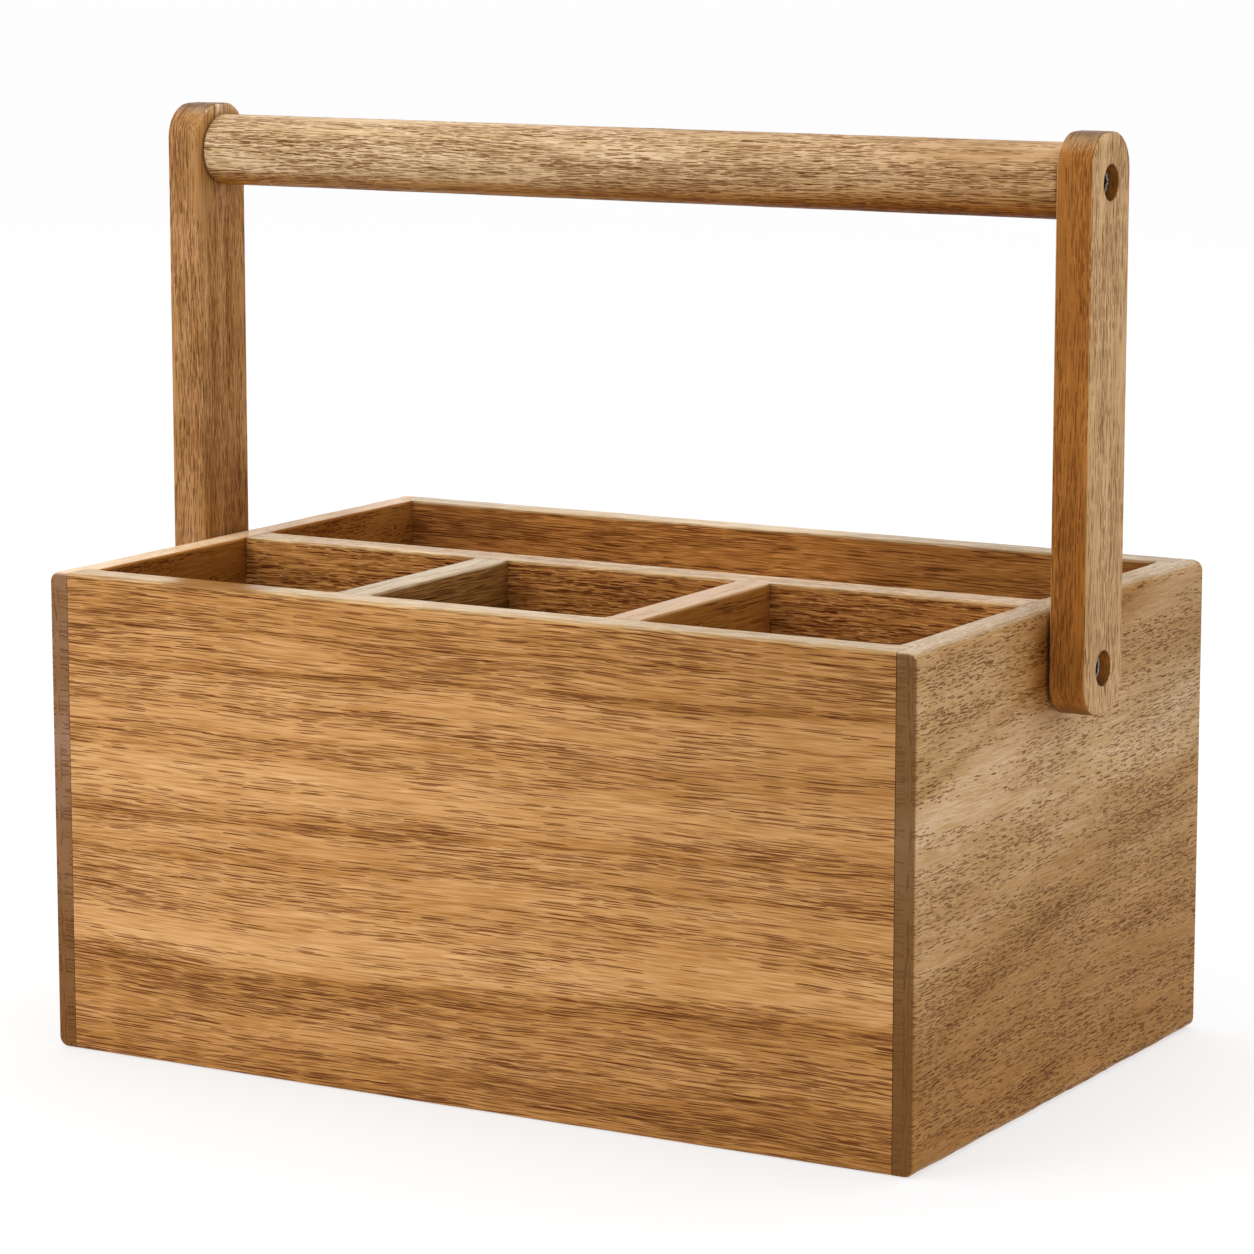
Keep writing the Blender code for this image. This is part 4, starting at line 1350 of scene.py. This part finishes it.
# %% [markdown]
# Colours of the handle.
# The flat sides of the arms are paler than their narrow ones, so a tint is put on the narrow sides: partly
# their own colour and partly painted shade on the rounded foot. The left arm is also darker towards its foot
# at the front, as painted shade. The top of each arm is paler, a painted highlight. The dowel is the palest
# wood of all. It is turned, so its dashes are laid out round its axis, and its underside is darker than its
# top, and so is its right end: painted shade.

# %% Arms and dowel in wood
ARM_GRAIN = {
    "pore_length": 0.009,
    "pore_width": 0.0011,
    "pore_amount": 0.62,
    "pore_strength": 0.85,
    "band_share": 0.3,
    "streak_share": 1.1,
    "fibre_share": 1.1,
    "streak_width": 0.0035,
    "cloud_share": 1.0,
    "roughness": 0.4,
    "rim_stop": arm_high.z - 1 * MM,
    "band_axis": "y",
}
arm_bands = {"bands": ((0.0, 0.5), (0.3, 0.6), (0.6, 0.4), (1.0, 0.5)), "band_span": (arm_low.y, arm_high.y)}
top_reach = [("z", arm_high.z - 4 * MM, arm_high.z - 1.5 * MM)]
# Painted shade: the left arm darkens towards its foot at the front.
arm_foot_shade = ([("z", 0.200, 0.150), ("y", arm_low.y + 0.2 * MM, arm_low.y + 5 * MM)], (0.70, 0.61, 0.52))
# The tint on the narrow sides of the arms is partly their own colour and partly painted shade on the rounded
# foot.
right_look = {**ARM_GRAIN, **arm_bands, "rim_tint": (0.61, 0.38, 0.155), "rim_pores": 0.8}
left_look = {**ARM_GRAIN, **arm_bands, "rim_tint": (0.75, 0.73, 0.82), "pore_amount": 0.70}
left_colours = tinted(TAN, 1.14, 0.99, 0.74)
# Painted highlight: the top of each arm is paler.
right_tints = [(top_reach, (1.12, 1.18, 1.25))]
left_tints = (arm_foot_shade, (top_reach, (1.27, 1.60, 2.6)))
dress(right_arm, wood("right arm wood", "z", PALE, 8.6, right_tints, **right_look))
dress(left_arm, wood("left arm wood", "z", left_colours, 7.3, left_tints, **left_look))

DOWEL_GRAIN = {
    **ARM_GRAIN,
    "pore_amount": 0.80,
    "pore_length": 0.0085,
    "pore_width": 0.0009,
    "pore_strength": 1.0,
    "fibre_share": 1.5,
    "bands": ((0.0, 0.5), (1.0, 0.6)),
    "band_span": (-0.02, 0.02),
    "middle": (PIVOT_Y, GRIP_Z, GRIP_RADIUS),
}


def on_dowel(top_share, low_share):
    """A reach down the dowel, between two shares of its radius from its axis."""
    return "z", GRIP_Z + top_share * GRIP_RADIUS, GRIP_Z + low_share * GRIP_RADIUS


# Painted shade: the dowel darkens on its underside and towards its right end.
underside_shade = ([on_dowel(-0.3, -0.95)], (0.66, 0.40, 0.09))
grip_shade_right = ([("x", -0.08, 0.15)], (0.76, 0.66, 0.55))
underside_shade_right = ([on_dowel(0.1, -0.8), ("x", -0.06, 0.12)], (0.80, 0.66, 0.44))
dress(grip, wood("pale dowel", "x", CREAM, 9.4, (underside_shade, grip_shade_right, underside_shade_right), **DOWEL_GRAIN))
print("woods of the handle:", [piece.data.materials[0].name for piece in (left_arm, right_arm, grip)])

# %% [markdown]
# Metal and nylon.
# The screws are zinc-plated steel. The plating is never perfectly smooth, so a fine noise breaks up the
# reflections. The sunk face and the side of the head are painted nearly black and matt, as the shade of the
# recess: how far a point lies below the face tells where. The washers are a dark matt nylon.

# %% Metal and nylon
STEEL_WAVES = (900, 900, 900)
STEEL_SHADES = ((0.80, 0.79, 0.76, 1), (0.94, 0.93, 0.90, 1))
STEEL_ROUGHNESS = 0.2
STEEL_CLOUD = 0.25
# Painted shade: the colour that the sunk part of the head gets.
RECESS_SHADE = (0.010, 0.008, 0.006, 1)
RECESS_SHADE_MATT = 0.5
NYLON_WAVES = (2500, 2500, 2500)
NYLON_SHADES = ((0.035, 0.030, 0.026, 1), (0.060, 0.052, 0.045, 1))
NYLON_ROUGHNESS = 0.55


def speckled(tree, spot, waves, detail, shades):
    """Fine noise, and the colour that it picks between two shades."""
    cloud = noise(tree, spot, waves, detail).outputs[0]
    palette = add(tree, "ValToRGB", {0: cloud})
    fill_ramp(palette, list(zip((0.3, 0.7), shades)))
    return cloud, palette.outputs["Color"]


def steel(name):
    """Zinc-plated steel with a slightly cloudy shine, painted nearly black and matt as shade where the head
    is sunk.
    """
    material, tree, shader = new_material(name)
    spot = add(tree, "TexCoord").outputs["Object"]
    cloud, colour = speckled(tree, spot, STEEL_WAVES, 3.0, STEEL_SHADES)
    out = calc(tree, "ABSOLUTE", parts_of(tree, spot)["X"])
    below_face = rise(tree, out, HEAD_FACE - 0.1 * MM, HEAD_FACE - 0.4 * MM)
    above_seat = rise(tree, out, SEAT + 0.1 * MM, SEAT + 0.3 * MM)
    recess_shade = calc(tree, "MULTIPLY", below_face, above_seat)
    tree.links.new(mix(tree, recess_shade, colour, RECESS_SHADE), shader.inputs["Base Color"])
    tree.links.new(calc(tree, "SUBTRACT", 1.0, recess_shade), shader.inputs["Metallic"])
    rough = calc(tree, "MULTIPLY_ADD", cloud, STEEL_CLOUD, STEEL_ROUGHNESS)
    tree.links.new(calc(tree, "MULTIPLY_ADD", recess_shade, RECESS_SHADE_MATT, rough), shader.inputs["Roughness"])
    return material


def nylon(name):
    """Dark matt nylon with a faint grain."""
    material, tree, shader = new_material(name)
    spot = add(tree, "TexCoord").outputs["Object"]
    tree.links.new(speckled(tree, spot, NYLON_WAVES, 2.0, NYLON_SHADES)[1], shader.inputs["Base Color"])
    shader.inputs["Roughness"].default_value = NYLON_ROUGHNESS
    return material


zinc = steel("plated steel")
dark_nylon = nylon("dark nylon")
for word in sides:
    dress(pivot_screws[word], zinc)
    dress(grip_screws[word], zinc)
    dress(washers[word], dark_nylon)
print("materials:", len(bpy.data.materials))

# %% [markdown]
# Riding on the frame.
# The plan lists for every new surface the moving body of the frame that carries it, the measured piece it
# stands for and the finish of the record. The surface is attached to its body, and the measured piece is
# hidden. The floor board keeps its measured shape and only gets the wood.

# %% Ride and replace
plan = [
    (front, "box", "front_panel", "acacia_front"),
    (back, "box", "back_panel", "acacia_back"),
    (left_end, "box", "left_end_panel", "acacia_end"),
    (right_end, "box", "right_end_panel", "acacia_end"),
    (middle_board, "box", "long_divider", "acacia_divider"),
    (left_cross, "box", "left_cross_divider", "acacia_divider"),
    (right_cross, "box", "right_cross_divider", "acacia_divider"),
    (left_arm, "handle", "left_arm", "acacia_arm"),
    (right_arm, "handle", "right_arm", "acacia_arm"),
    (grip, "handle", "handle_dowel", "acacia_grip"),
]
for word in sides:
    plan.append((pivot_screws[word], "box", word + "_pivot_screw", "screw_steel"))
    plan.append((grip_screws[word], "handle", word + "_handle_screw", "screw_steel"))
    plan.append((washers[word], "box", word + "_washer", "nylon"))
for piece, body, node, slot in plan:
    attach(piece, body)
    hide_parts(node)
print("dressed pieces:", len(plan))

# %% [markdown] Update the view layer

bpy.context.view_layer.update()
